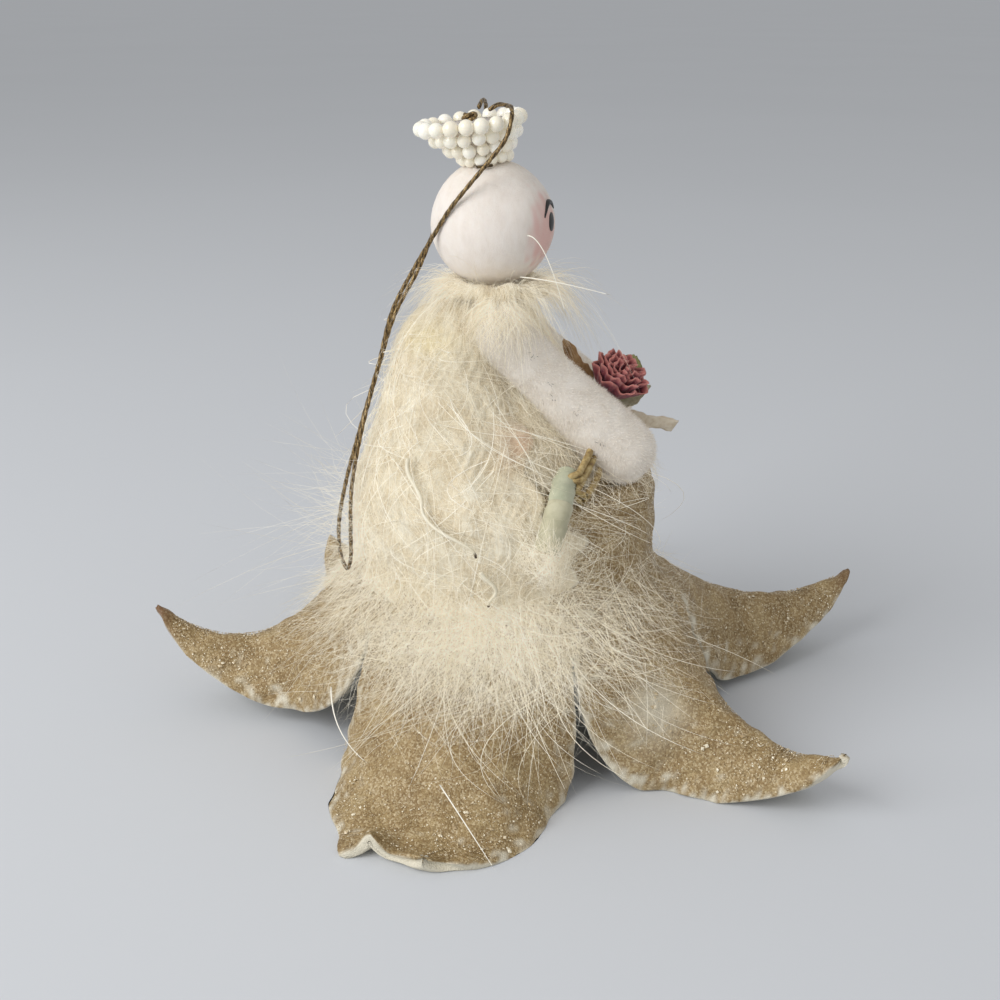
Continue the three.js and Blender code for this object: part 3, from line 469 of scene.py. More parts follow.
@dataclass(frozen=True)
class Finish:
    """A surface of mottled colour with a fine relief.

    Attributes:
        name: The material's name.
        colours: Colours from the darkest patches to the lightest.
        patch: The size of the patches.
        grain: The size of the relief's grains.
        relief: The relief's depth.
        roughness: From 0, mirror, to 1, matt.
        stretch: How the patterns are drawn out along the axes.
        overlays: Marks with the colour that each brings in.
        tinted: Whether the shade also follows each body's own tint.
        sheen: The weight of a soft sheen at grazing angles.
        coat: The weight of a clear coat.
        metallic: The weight of bare metal.
        scatter: The weight of light scattered under the surface.
        painted_glow: Painted light: emission in a share of the colour, standing in for light that soaks
            through fine hairs and pearls from all round.
        gloss: The strength of the mirror light, 0.5 for common surfaces.
        span: The values of the pattern at the first and the last colour.
        tint_share: The weight of a body's own tint against the patches.
    """

    name: str
    colours: tuple[Colour, ...]
    patch: float
    grain: float = 0.2 * MM
    relief: float = 0.01 * MM
    roughness: float = 0.85
    stretch: Colour = (1, 1, 1)
    overlays: tuple[tuple[Mark, Colour], ...] = ()
    tinted: bool = False
    sheen: float = 0.0
    coat: float = 0.0
    metallic: float = 0.0
    scatter: float = 0.0
    painted_glow: float = 0.0
    gloss: float = 0.5
    span: Pair = (0.28, 0.72)
    tint_share: float = 0.6

    def material(self) -> bpy.types.Material:
        """The finish as a material, made once."""
        label = f"{self.name}_finish"
        made = bpy.data.materials.get(label)
        return made if made is not None else self.mixed(NodeBook(label))

    def shade(self, book: NodeBook, place: Socket) -> Socket:
        """The colour before any overlay: patches of noise, with each body's tint if it has one."""
        share = book.noise(self.patch, 4, place)
        if self.tinted:
            parts = {0: self.tint_share, 2: share, 3: book.mark(Mark.TINT)}
            share = book.add("ShaderNodeMix", parts).outputs[0]
        return book.ramp(share, self.colours, self.span)

    def height(self, book: NodeBook, place: Socket) -> Socket:
        """The relief's height, from 0 to 1."""
        return book.noise(self.grain, 3, place)

    def mixed(self, book: NodeBook) -> bpy.types.Material:
        """Fills the nodes of a material's own tree and gives the material back."""
        place = book.coordinates(self.stretch)
        colour = self.shade(book, place)
        for mark, over in self.overlays:
            colour = book.mix(book.mark(mark), colour, over)
        book.feed(book.shader.inputs["Base Color"], colour)
        # Painted light: the emission makes the surface glow in its own colour, though it is no lamp.
        if self.painted_glow:
            book.feed(book.shader.inputs["Emission Color"], colour)
            book.shader.inputs["Emission Strength"].default_value = self.painted_glow
        book.bump(self.height(book, place), self.relief)
        fixed = {"Roughness": self.roughness, "Sheen Weight": self.sheen, "Coat Weight": self.coat,
                 "Metallic": self.metallic, "Specular IOR Level": self.gloss,
                 "Subsurface Weight": self.scatter, "Subsurface Radius": (1, 0.8, 0.6),
                 "Subsurface Scale": 1 * MM}
        for name, value in fixed.items():
            book.shader.inputs[name].default_value = value
        return book.material


@dataclass(frozen=True)
class GlitterFinish(Finish):
    """Glass glitter: cells of their own tone over the patches, each cell a small facet, the lightest cells
    painted glints.
    """

    cell: float = 0.34 * MM
    cell_share: float = 0.36
    cell_span: Pair = (0.1, 0.97)
    cell_roughness: Pair = (0.75, 0.3)
    painted_sparkle: tuple[Colour, ...] = ()

    def shade(self, book: NodeBook, place: Socket) -> Socket:
        """Patches of noise under cells that each have their own brightness; the brightest cells are painted
        glints.
        """
        patches = super().shade(book, place)
        cells = book.add("ShaderNodeTexVoronoi", {"Vector": place, "Scale": 1 / self.cell})
        spot = book.add("ShaderNodeSeparateColor", {"Color": cells.outputs["Color"]}).outputs[0]
        # Painted light: the lightest colours of this ramp are glints painted into the grains.
        grains = book.ramp(spot, self.painted_sparkle, self.cell_span)
        dull, bright = self.cell_roughness
        rough = book.add("ShaderNodeMapRange", {"Value": spot, "To Min": dull, "To Max": bright})
        book.feed(book.shader.inputs["Roughness"], rough.outputs["Result"])
        return book.mix(self.cell_share, patches, grains)

    def height(self, book: NodeBook, place: Socket) -> Socket:
        """Grains: high in the middle of each cell, on top of a finer noise."""
        cells = book.add("ShaderNodeTexVoronoi", {"Vector": place, "Scale": 1 / self.cell})
        rise = book.sums("SUBTRACT", 1.0, cells.outputs["Distance"])
        return book.sums("MULTIPLY", rise, book.noise(self.grain, 3, place))


@dataclass(frozen=True)
class FeltFinish(Finish):
    """Matted down: fine streaks in two directions that cross each other, over soft patches, with painted
    shade in the low ground between the raised streaks.
    """

    span: Pair = (0.36, 0.66)
    streak: float = 0.3 * MM
    streak_share: float = 0.55
    drawn_out: float = 0.07
    slants: Pair = (-0.65, 0.5)

    def streaks(self, book: NodeBook) -> Socket:
        """The higher of two drawn-out noises, each slanted its own way about the X axis."""
        place = book.add("ShaderNodeTexCoord").outputs["Object"]
        layers = []
        for slant in self.slants:
            settings = {"Vector": place, "Rotation": (slant, 0, slant), "Scale": (1, 1, self.drawn_out)}
            drawn = book.add("ShaderNodeMapping", settings).outputs["Vector"]
            layers.append(book.noise(self.streak, 2, drawn))
        return book.sums("MAXIMUM", *layers)

    def shade(self, book: NodeBook, place: Socket) -> Socket:
        """Streaks and patches in about equal parts, from the darkest colour to the lightest; the darkest lies
        between the raised streaks as painted shade.
        """
        patches = book.noise(self.patch, 3, place)
        parts = {0: self.streak_share, 2: patches, 3: self.streaks(book)}
        share = book.add("ShaderNodeMix", parts).outputs[0]
        return book.ramp(share, self.colours, self.span)

    def height(self, book: NodeBook, place: Socket) -> Socket:
        """The streaks stand up from the mat."""
        return self.streaks(book)


# The last colour of the grains' ramp is a painted glint.
GLITTER = GlitterFinish(
    "glass_glitter", ((0.2, 0.125, 0.045), (0.32, 0.215, 0.092), (0.44, 0.325, 0.16)),
    patch=6 * MM, grain=0.35 * MM, relief=0.25 * MM, roughness=0.6,
    overlays=((Mark.BARE, (0.7, 0.65, 0.52)), (Mark.STAIN, (0.16, 0.07, 0.03))),
    painted_sparkle=((0.14, 0.085, 0.03), (0.28, 0.19, 0.08), (0.44, 0.33, 0.16), (0.85, 0.74, 0.5)))
GLASS_FLAKE = Finish(
    "glass_flake", ((0.42, 0.31, 0.17), (0.6, 0.48, 0.29), (0.86, 0.78, 0.6)),
    patch=2 * MM, relief=0.02 * MM, roughness=0.25, tinted=True, coat=0.5)
SPUN_COTTON = Finish(
    "spun_cotton", ((0.8, 0.725, 0.65), (0.85, 0.78, 0.71), (0.88, 0.82, 0.755)),
    patch=4 * MM, grain=0.3 * MM, relief=0.14 * MM, roughness=0.9, stretch=(2.2, 2.2, 0.8),
    overlays=((Mark.BLUSH, (0.74, 0.34, 0.29)),), sheen=0.15, scatter=0.08)
BLACK_PAINT = Finish(
    "black_paint", ((0.008, 0.007, 0.007), (0.02, 0.018, 0.017)),
    patch=0.6 * MM, roughness=0.35)
RED_PAINT = replace(
    BLACK_PAINT, name="red_paint", colours=((0.36, 0.05, 0.05), (0.5, 0.1, 0.09)), roughness=0.45)
# The pearls carry a little painted glow, emission in their own colour.
PEARL = Finish(
    "ivory_pearl", ((0.83, 0.77, 0.63), (0.88, 0.84, 0.72), (0.91, 0.88, 0.79)),
    patch=1.5 * MM, grain=0.4 * MM, roughness=0.22,
    tinted=True, coat=0.6, scatter=0.1, painted_glow=0.1)
# Patches from dark bronze to gold over a tiny noise; the gold patches are partly painted glints.
CORD = Finish(
    "metallic_cord", ((0.06, 0.04, 0.018), (0.2, 0.13, 0.055), (0.52, 0.38, 0.17)),
    patch=0.45 * MM, grain=0.18 * MM, relief=0.05 * MM, roughness=0.38,
    # Painted shade: this overlay darkens the grooves between the cord's plies; on the crown's tie it is the
    # thread's own dark colour.
    overlays=((Mark.GROOVE_SHADE_AND_DARK_THREAD, (0.022, 0.015, 0.009)),), metallic=0.6)
PLUSH = Finish(
    "chenille_plush", ((0.72, 0.66, 0.58), (0.77, 0.715, 0.64), (0.81, 0.76, 0.69)),
    patch=3 * MM, grain=0.25 * MM, relief=0.05 * MM, roughness=1.0, sheen=0.3, scatter=0.05)
# The pile carries a little painted glow, emission in its own colour.
PILE = Finish(
    "chenille_pile", ((0.74, 0.68, 0.6), (0.81, 0.76, 0.69), (0.88, 0.845, 0.785)),
    patch=3 * MM, grain=0.3 * MM, roughness=1.0, tinted=True, painted_glow=0.06)
SPECK = Finish(
    "dark_speck", ((0.03, 0.03, 0.035), (0.09, 0.085, 0.085)),
    patch=0.8 * MM, roughness=0.9)
# Painted shade: the darkest of these colours falls between the raised streaks of the felt.
DOWN_BASE = FeltFinish(
    "down_base", ((0.58, 0.47, 0.31), (0.73, 0.645, 0.48), (0.85, 0.8, 0.66)),
    patch=5 * MM, grain=0.4 * MM, relief=0.25 * MM, roughness=1.0, sheen=0.15,
    overlays=((Mark.BLUSH, (0.8, 0.53, 0.37)), (Mark.STAIN, (0.74, 0.64, 0.36))))
# The hairs carry a painted glow, emission in their own colour, in place of light soaking through them.
DOWN = Finish(
    "marabou_down", ((0.76, 0.67, 0.5), (0.84, 0.775, 0.62), (0.91, 0.87, 0.76)),
    patch=5 * MM, grain=0.4 * MM, roughness=0.9, tinted=True, painted_glow=0.22)
QUILL = Finish(
    "quill_horn", ((0.7, 0.63, 0.46), (0.85, 0.8, 0.66)),
    patch=2 * MM, grain=0.3 * MM, relief=0.02 * MM, roughness=0.5,
    overlays=((Mark.STAIN, (0.07, 0.04, 0.02)),))
ROSE = Finish(
    "rose_cloth", ((0.1, 0.008, 0.03), (0.22, 0.025, 0.05), (0.4, 0.085, 0.085)),
    patch=0.9 * MM, grain=0.25 * MM, relief=0.12 * MM, roughness=0.8,
    overlays=((Mark.TIP, (0.62, 0.24, 0.2)),), sheen=0.25)
STRAW = Finish(
    "dried_straw", ((0.17, 0.1, 0.035), (0.42, 0.3, 0.12), (0.66, 0.54, 0.28)),
    patch=1.2 * MM, relief=0.06 * MM, roughness=0.6)
MINT = Finish(
    "mint_ribbon", ((0.36, 0.38, 0.26), (0.46, 0.47, 0.33), (0.53, 0.54, 0.39)),
    patch=3 * MM, grain=0.16 * MM, relief=0.05 * MM, roughness=0.7, sheen=0.2)
PALE_GREEN = replace(
    MINT, name="pale_ribbon", colours=((0.4, 0.38, 0.25), (0.5, 0.47, 0.32), (0.57, 0.54, 0.39)))
BROWN_LEAF = Finish(
    "brown_leaf", ((0.18, 0.09, 0.035), (0.34, 0.2, 0.09), (0.46, 0.3, 0.15)),
    patch=1.6 * MM, grain=0.25 * MM, relief=0.08 * MM, roughness=0.75)
OLIVE_LEAF = replace(
    BROWN_LEAF, name="olive_leaf", roughness=0.7,
    colours=((0.13, 0.13, 0.045), (0.27, 0.26, 0.1), (0.4, 0.39, 0.19)))
PALE_LEAF = replace(
    OLIVE_LEAF, name="pale_leaf", relief=0.06 * MM,
    colours=((0.36, 0.34, 0.2), (0.5, 0.48, 0.32), (0.62, 0.6, 0.45)))
CREAM = Finish(
    "cream_ribbon", ((0.58, 0.48, 0.34), (0.72, 0.63, 0.49), (0.8, 0.73, 0.6)),
    patch=1.5 * MM, relief=0.06 * MM, roughness=0.7)
WOOD = Finish(
    "birch_wood", ((0.42, 0.27, 0.13), (0.56, 0.38, 0.2)),
    patch=1.5 * MM, grain=0.3 * MM, relief=0.03 * MM, roughness=0.7, stretch=(1, 1, 0.15))
WIRE = Finish(
    "soft_wire", ((0.3, 0.3, 0.31), (0.5, 0.5, 0.51)),
    patch=0.8 * MM, roughness=0.4, metallic=1.0)


# Pieces


def place(name: str, shell: Shell, finish: Finish, slot: str, stands_for: Sequence[str] = (),
          body: Body = Body.FIGURE, smooth: bool = True) -> bpy.types.Object:
    """Makes a shell into a piece that rides on a body.

    Args:
        name: The piece's name.
        shell: Its mesh.
        finish: Its surface.
        slot: The record's material slot. It is not used.
        stands_for: The solids that it replaces.
        body: The body it moves with.
        smooth: Whether its faces are shaded smoothly.

    Returns:
        The piece.
    """
    mesh = bpy.data.meshes.new(name)
    mesh.vertices.add(len(shell.points))
    mesh.vertices.foreach_set("co", shell.points.astype(np.float32).ravel())
    sizes = np.concatenate([np.full(len(f), f.shape[1]) for f in shell.faces])
    corners = np.concatenate([f.ravel() for f in shell.faces]).astype(np.int32)
    mesh.loops.add(len(corners))
    mesh.loops.foreach_set("vertex_index", corners)
    mesh.polygons.add(len(sizes))
    mesh.polygons.foreach_set("loop_start", (np.cumsum(sizes) - sizes).astype(np.int32))
    mesh.polygons.foreach_set("use_smooth", np.full(len(sizes), smooth))
    mesh.update(calc_edges=True)
    mesh.validate()
    for mark, values in shell.marks.items():
        mesh.attributes.new(mark.value, "FLOAT", "POINT").data.foreach_set("value", values)
    mesh.materials.append(finish.material())
    piece = bpy.data.objects.new(name, mesh)
    bpy.context.scene.collection.objects.link(piece)
    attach(piece, body.value)
    if stands_for:
        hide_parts(*stands_for)
    LOG.info("%s: %d points, on %s", name, len(shell.points), body.value)
    return piece


def middle_of(node: str) -> Array:
    """The middle of a solid's box."""
    low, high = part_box(node)
    return np.array((low + high) / 2)


SKIRT_AXIS = middle_of("skirt_bell") * (1, 1, 0)


@dataclass
class Figure:
    """Sizes that several sub-assemblies share; heights are over the shelf, radii from the skirt's axis."""

    gap: float = 0.3 * MM
    wall: float = 3 * MM
    bell_radius: float = 31 * MM
    shoulder_round: float = 4.5 * MM
    wall_foot: float = 38 * MM
    wall_top: float = 51 * MM
    bell_top: float = 55.5 * MM
    hem_radius: float = 38 * MM
    hem_height: float = 27.5 * MM
    hem_slope: float = np.radians(35)
    torso_foot: float = 55.8 * MM
    torso_top: float = 94.9 * MM
    torso_foot_radius: float = 22 * MM
    torso_neck_radius: float = 6 * MM
    torso_taper: float = 1.25
    slope_start: float = 0.6
    slope_rise: float = 13 * MM
    head_radius: float = 12.5 * MM
    head_height: float = 106.7 * MM
    head_set_back: float = 3.5 * MM

    def bell_at(self, z: Array) -> Array:
        """The bell's radius at a height: a round shoulder, a straight wall and a flare down to the hem.

        The flare is the curve whose radius grows with the square of its run and whose height falls first
        steeply and then at the hem's slope.
        """
        over = np.clip(z - self.wall_top, 0, self.shoulder_round)
        shoulder = self.bell_radius - self.shoulder_round + np.sqrt(self.shoulder_round ** 2 - over ** 2)
        width = self.hem_radius - self.bell_radius
        rise = width * np.tan(self.hem_slope)
        drop = self.wall_foot - self.hem_height - rise
        below = np.clip(self.wall_foot - z, 0, None)
        run = np.minimum(below / (drop + np.sqrt(drop ** 2 + (rise - drop) * below)), 1)
        return np.where(z >= self.wall_top, shoulder, self.bell_radius + width * run ** 2)

    def torso_at(self, z: Array) -> Array:
        """The torso's radius at a height: a cone with a hollow flank."""
        share = np.clip((z - self.torso_foot) / (self.torso_top - self.torso_foot), 0, 1)
        return lerp(self.torso_neck_radius, self.torso_foot_radius, (1 - share) ** self.torso_taper)

    def under_cape(self, z: Array) -> Array:
        """The radius that feathers lie on: the bell's, and above it a smooth slope to the torso's."""
        slope_foot = self.wall_top + self.slope_start * self.shoulder_round
        share = smoothstep(z, slope_foot, slope_foot + self.slope_rise)
        return lerp(self.bell_at(np.minimum(z, slope_foot)), self.torso_at(z), share)

    def lean_at(self, z: Array) -> Array:
        """How far the upper body is set back at a height."""
        slope = self.head_set_back / (self.head_height - self.bell_top)
        return slope * np.clip(z - self.bell_top, 0, None)

    def round_point(self, radius: Array, turn: Array, z: Array) -> Array:
        """Points at a radius and a turn about the skirt's axis, leaning back with the upper body."""
        points = turned(radius, turn, z)
        points[..., 1] += self.lean_at(z)
        return points + SKIRT_AXIS


FIGURE = Figure()


@dataclass
class Petal:
    """One petal of the skirt.

    Attributes:
        name: The solid that it stands for.
        heading: Its direction from +X, in degrees.
        fullness: How late the outline narrows.
        knee: The bend of the midrib, as reach beyond the hem and height.
        tip: The end of the midrib, likewise.
        half_widths: Its widths to either side of the midrib.
        edge_height: The height that its edges droop to.
        stain: How brown its tip is.
        wave: How high one edge is lifted near the tip.
        corner: How far a corner beside the wave reaches out.
        wave_off: The wave's distance from the midrib.
        wave_width: The wave's own width.
        corner_off: The corner's distance from the midrib.
        corner_width: The corner's own width.
        web: The places along it between which it narrows from a full root to its own width.
        bald: How bare a patch near its root is.
        bald_place: The patch's middle along and across the petal.
        bald_size: The patch's reach likewise.
        rim_height: The height at which a drooping edge ends.
        room: The turns to the middle lines between it and its neighbours.
        taper: The power of the outline's narrowing.
        tip_width: Its width near the tip.
        flat_tip: How much of the droop is taken back at the very tip.
        root_reach: How far it follows the hem's slope.
        lump: The height of its unevenness.
        lump_size: The breadth of its unevenness.
    """

    name: str
    heading: float
    fullness: float
    knee: Pair
    tip: Pair
    half_widths: Pair = mm(19, 19)
    edge_height: float = -0.6 * MM
    stain: float = 0.0
    wave: float = 0.0
    corner: float = 0.0
    wave_off: float = 11 * MM
    wave_width: float = 2.6 * MM
    corner_off: float = 16 * MM
    corner_width: float = 2.8 * MM
    web: Pair = (0.1, 0.42)
    bald: float = 0.0
    bald_place: Pair = (0.27, -0.5)
    bald_size: Pair = (0.09, 0.22)
    rim_height: float = 0.4 * MM
    room: Pair = (0.5, 0.5)
    taper: float = 0.6
    tip_width: float = 2.4 * MM
    flat_tip: float = 0.85
    root_reach: float = 10 * MM
    lump: float = 0.25 * MM
    lump_size: float = 7 * MM

    def midrib(self, u: Array) -> tuple[Array, Array]:
        """Reach and height along the midrib: a cubic from the hem's slope over the knee to the tip."""
        down = np.array([np.cos(FIGURE.hem_slope), -np.sin(FIGURE.hem_slope)])
        root = np.array([FIGURE.hem_radius, FIGURE.hem_height]) + down * FIGURE.gap
        knots = (root, root + down * self.root_reach, (FIGURE.hem_radius + self.knee[0], self.knee[1]),
                 (FIGURE.hem_radius + self.tip[0], self.tip[1]))
        weights = ((1 - u) ** 3, 3 * u * (1 - u) ** 2, 3 * u ** 2 * (1 - u), u ** 3)
        reach, height = (sum(w * k[axis] for w, k in zip(weights, knots)) for axis in (0, 1))
        return reach, height

    def fall(self, u: Array, height: Array) -> Array:
        """How far the edges droop below the midrib: fully along the middle, less at the root and the tip."""
        droop = smoothstep(u, 0, 0.4) * (1 - 0.7 * smoothstep(u, 0.5, 1))
        droop = droop * (1 - self.flat_tip * smoothstep(u, 0.88, 1))
        return np.maximum((height - self.edge_height) * droop, 0.01 * MM)

    def across(self, u: Array, side: Array) -> tuple[Array, Array]:
        """The share of the droop and the distance from the midrib at a place.

        The half width narrows as a power of one minus a power of u, after a root that fills the room up to
        the middle lines to the next petals. It ends where the drooping edge meets the shelf.
        """
        along = np.clip(u, 0, 1)
        reach, height = self.midrib(u)
        side = side * np.sqrt(np.clip((height - self.rim_height) / self.fall(along, height), 0.04, 1))
        room = np.where(side < 0, *self.room) * reach - FIGURE.gap
        half = np.where(side < 0, *self.half_widths)
        point = np.sqrt(1 - 0.95 * np.clip((along - 0.95) / 0.05, 0, 1) ** 2)
        width = np.maximum(half * (1 - along ** self.fullness) ** self.taper, self.tip_width / 2 * point)
        width = lerp(room, np.minimum(width, room), smoothstep(along, *self.web))
        return side, side * width

    def lifted(self, u: Array, lateral: Array) -> Array:
        """The share of the wave at a place: a bell curve across the petal that grows towards the tip."""
        return bell_curve(lateral + self.wave_off, self.wave_width) * smoothstep(u, 0.75, 0.97)

    def top(self, u: Array, side: Array) -> Array:
        """The upper surface, u from hem to tip and side from -1 to 1 across the midrib.

        The edges droop with the square of side. A wave lifts one edge, and beside it a corner reaches further
        out, both by bell curves of the distance from the midrib.
        """
        along = np.clip(u, 0, 1)
        reach, height = self.midrib(u)
        droop, lateral = self.across(u, side)
        turn = np.radians(self.heading) + lateral / reach
        level = height - self.fall(along, height) * droop ** 2 + self.wave * self.lifted(along, lateral)
        swell = bell_curve(lateral + self.corner_off, self.corner_width) * smoothstep(along, 0.55, 0.9)
        return turned(reach + self.corner * swell, turn, level) + SKIRT_AXIS

    def skin(self, rows: int = 90, columns: int = 96) -> Shell:
        """The petal's closed skin: each ring goes out over the top and back underneath, round at the edges.

        A ring's side runs as a cosine and its depth as a power of a sine, so the edges are round. Points
        under the shelf's level are laid flat on it.
        """
        u = np.linspace(-0.07, 0.998, rows)[:, None]
        turn = full_turn(columns)[None]
        blunt = np.sign(np.sin(turn)) * np.abs(np.sin(turn)) ** 0.4
        flat, side, layer = np.broadcast_arrays(u, np.cos(turn), blunt)
        normal = normal_of(self.top, flat, side)
        slim = np.sqrt(1 - 0.9 * np.clip((flat - 0.9) / 0.1, 0, 1) ** 2)
        depth = FIGURE.wall / 2 * (layer - 1) * slim
        points = self.top(flat, side) + normal * depth[..., None]
        points = points + normal * (self.lump * lumps(points, self.lump_size, 11))[..., None]
        points[..., 2] = np.maximum(points[..., 2], 0)
        shell = sleeve(points, (points[0].mean(0), points[-1].mean(0)))
        patchy = 0.25 * lumps(points, 3 * MM, 5)
        bare = smoothstep(-layer + 0.6 * patchy, -0.75, -0.25)
        spot = np.prod([bell_curve(at - middle, size) for at, middle, size in
                        zip((flat, side), self.bald_place, self.bald_size)], axis=0)
        lip = self.lifted(flat, self.across(flat, side)[1]) * smoothstep(-side, 0.85, 0.98) * (self.wave > 0)
        bare = np.clip(bare + self.bald * spot + lip, 0, 1)
        stain = self.stain * smoothstep(flat + 0.03 * patchy, 0.9, 1.0)
        pole = np.ones(2)
        shell.with_mark(Mark.BARE, np.concatenate([bare.ravel(), 0.3 * pole]))
        return shell.with_mark(Mark.STAIN, np.concatenate([stain.ravel(), self.stain * pole]))


@dataclass
class Skirt:
    """The lily: a bell and six petals, coated with glitter."""

    petals: list[Petal] = field(default_factory=lambda: [
        Petal("petal_right", 162, 3.8, mm(20, -4), mm(33, 4), mm(30, 22),
              wave=4 * MM, corner=4.5 * MM, flat_tip=0),
        Petal("petal_right_front", 226, 1, mm(26, 1), mm(44, 15), bald=0.8),
        Petal("petal_front", 283, 0.95, mm(28, 9), mm(48.5, 19.5), edge_height=2.4 * MM,
              stain=0.6, tip_width=5 * MM),
        Petal("petal_left_front", 338, 1.1, mm(27, 3), mm(45, 16)),
        Petal("petal_left_back", 392, 1.3, mm(24, 1), mm(41, 14)),
        Petal("petal_back", 448, 0.95, mm(20, 7), mm(39.5, 24), edge_height=4.5 * MM,
              stain=0.8),
    ])
    flakes_each: int = 2400
    big_flakes_each: int = 70
    flake_widths: Pair = (0.18, 0.45)
    big_flake: float = 2.4
    flake_lift: float = 0.06 * MM
    pole: float = 1 * MM
    lump: float = 0.3 * MM
    lump_size: float = 9 * MM

    def __post_init__(self) -> None:
        """Gives each petal its room up to the middle lines between it and its neighbours."""
        headings = np.array([petal.heading for petal in self.petals])
        to_next = np.radians((np.roll(headings, -1) - headings) % 360) / 2
        for petal, last, ahead in zip(self.petals, np.roll(to_next, 1), to_next):
            petal.room = (last, ahead)

    def bell(self) -> Shell:
        """The bell's closed skin: its outline turned about the axis, over the shoulder and back inside."""
        arc = np.linspace(np.pi / 2, 0, 14)
        round_in = FIGURE.bell_radius - FIGURE.shoulder_round
        lid = np.stack([np.linspace(self.pole, round_in, 16), np.full(16, FIGURE.bell_top)], -1)
        shoulder = np.stack([round_in + FIGURE.shoulder_round * np.cos(arc),
                             FIGURE.wall_top + FIGURE.shoulder_round * np.sin(arc)], -1)
        fall = np.linspace(FIGURE.wall_top, FIGURE.hem_height, 60)[1:]
        flank = np.stack([FIGURE.bell_at(fall), fall], -1)
        outer = np.vstack([lid, shoulder[1:], flank])
        slope = unit(np.gradient(outer, axis=0))
        inner = (outer + FIGURE.wall * np.stack([slope[:, 1], -slope[:, 0]], -1))[::-1]
        inner[:, 0] = np.maximum(inner[:, 0], self.pole)
        outline = np.vstack([outer, inner])
        turn = full_turn(160)
        rings = turned(outline[:, :1], turn, outline[:, 1:]) + SKIRT_AXIS
        outwards = unit((rings - SKIRT_AXIS) * (1, 1, 0))
        rings = rings + outwards * (self.lump * lumps(rings, self.lump_size, 3))[..., None]
        ends = (SKIRT_AXIS + (0, 0, FIGURE.bell_top), SKIRT_AXIS + (0, 0, FIGURE.bell_top - FIGURE.wall))
        inside = np.repeat(np.concatenate([np.zeros(len(outer)), np.ones(len(inner))]), len(turn))
        shell = sleeve(rings, ends).with_mark(Mark.BARE, np.concatenate([inside, [0, 1]]))
        return shell.with_mark(Mark.STAIN, 0.0)

    def glitter(self) -> Shell:
        """Grains of glass strewn over the petals and the bell, a few of them large."""
        draw = np.random.default_rng(41)
        fields = []
        for petal in self.petals:
            u, side = draw.uniform(0, 0.94, self.flakes_each), draw.uniform(-0.93, 0.93, self.flakes_each)
            u[:self.big_flakes_each] *= 0.9
            fields.append((petal.top(u, side), normal_of(petal.top, u, side)))
        z = draw.uniform(FIGURE.hem_height, FIGURE.wall_top, 3 * self.flakes_each)
        turn = draw.uniform(0, 2 * np.pi, len(z))
        fields.append((FIGURE.round_point(FIGURE.bell_at(z), turn, z), unit(turned(1, turn, 0.2))))
        shells = []
        for points, normals in fields:
            width = draw.uniform(*self.flake_widths, len(points)) * MM
            width[:self.big_flakes_each] *= self.big_flake
            shells.append(flakes(points + normals * self.flake_lift, normals, width, draw))
        return joined(shells)

    def build(self) -> None:
        """Places the bell, the petals and the glitter."""
        place("bell_skin", self.bell(), GLITTER, "glitter_skin", ["skirt_bell"])
        for petal in self.petals:
            place(f"{petal.name}_skin", petal.skin(), GLITTER, "glitter_skin", [petal.name])
        place("skirt_glitter", self.glitter(), GLASS_FLAKE, "glitter_skin", smooth=False)


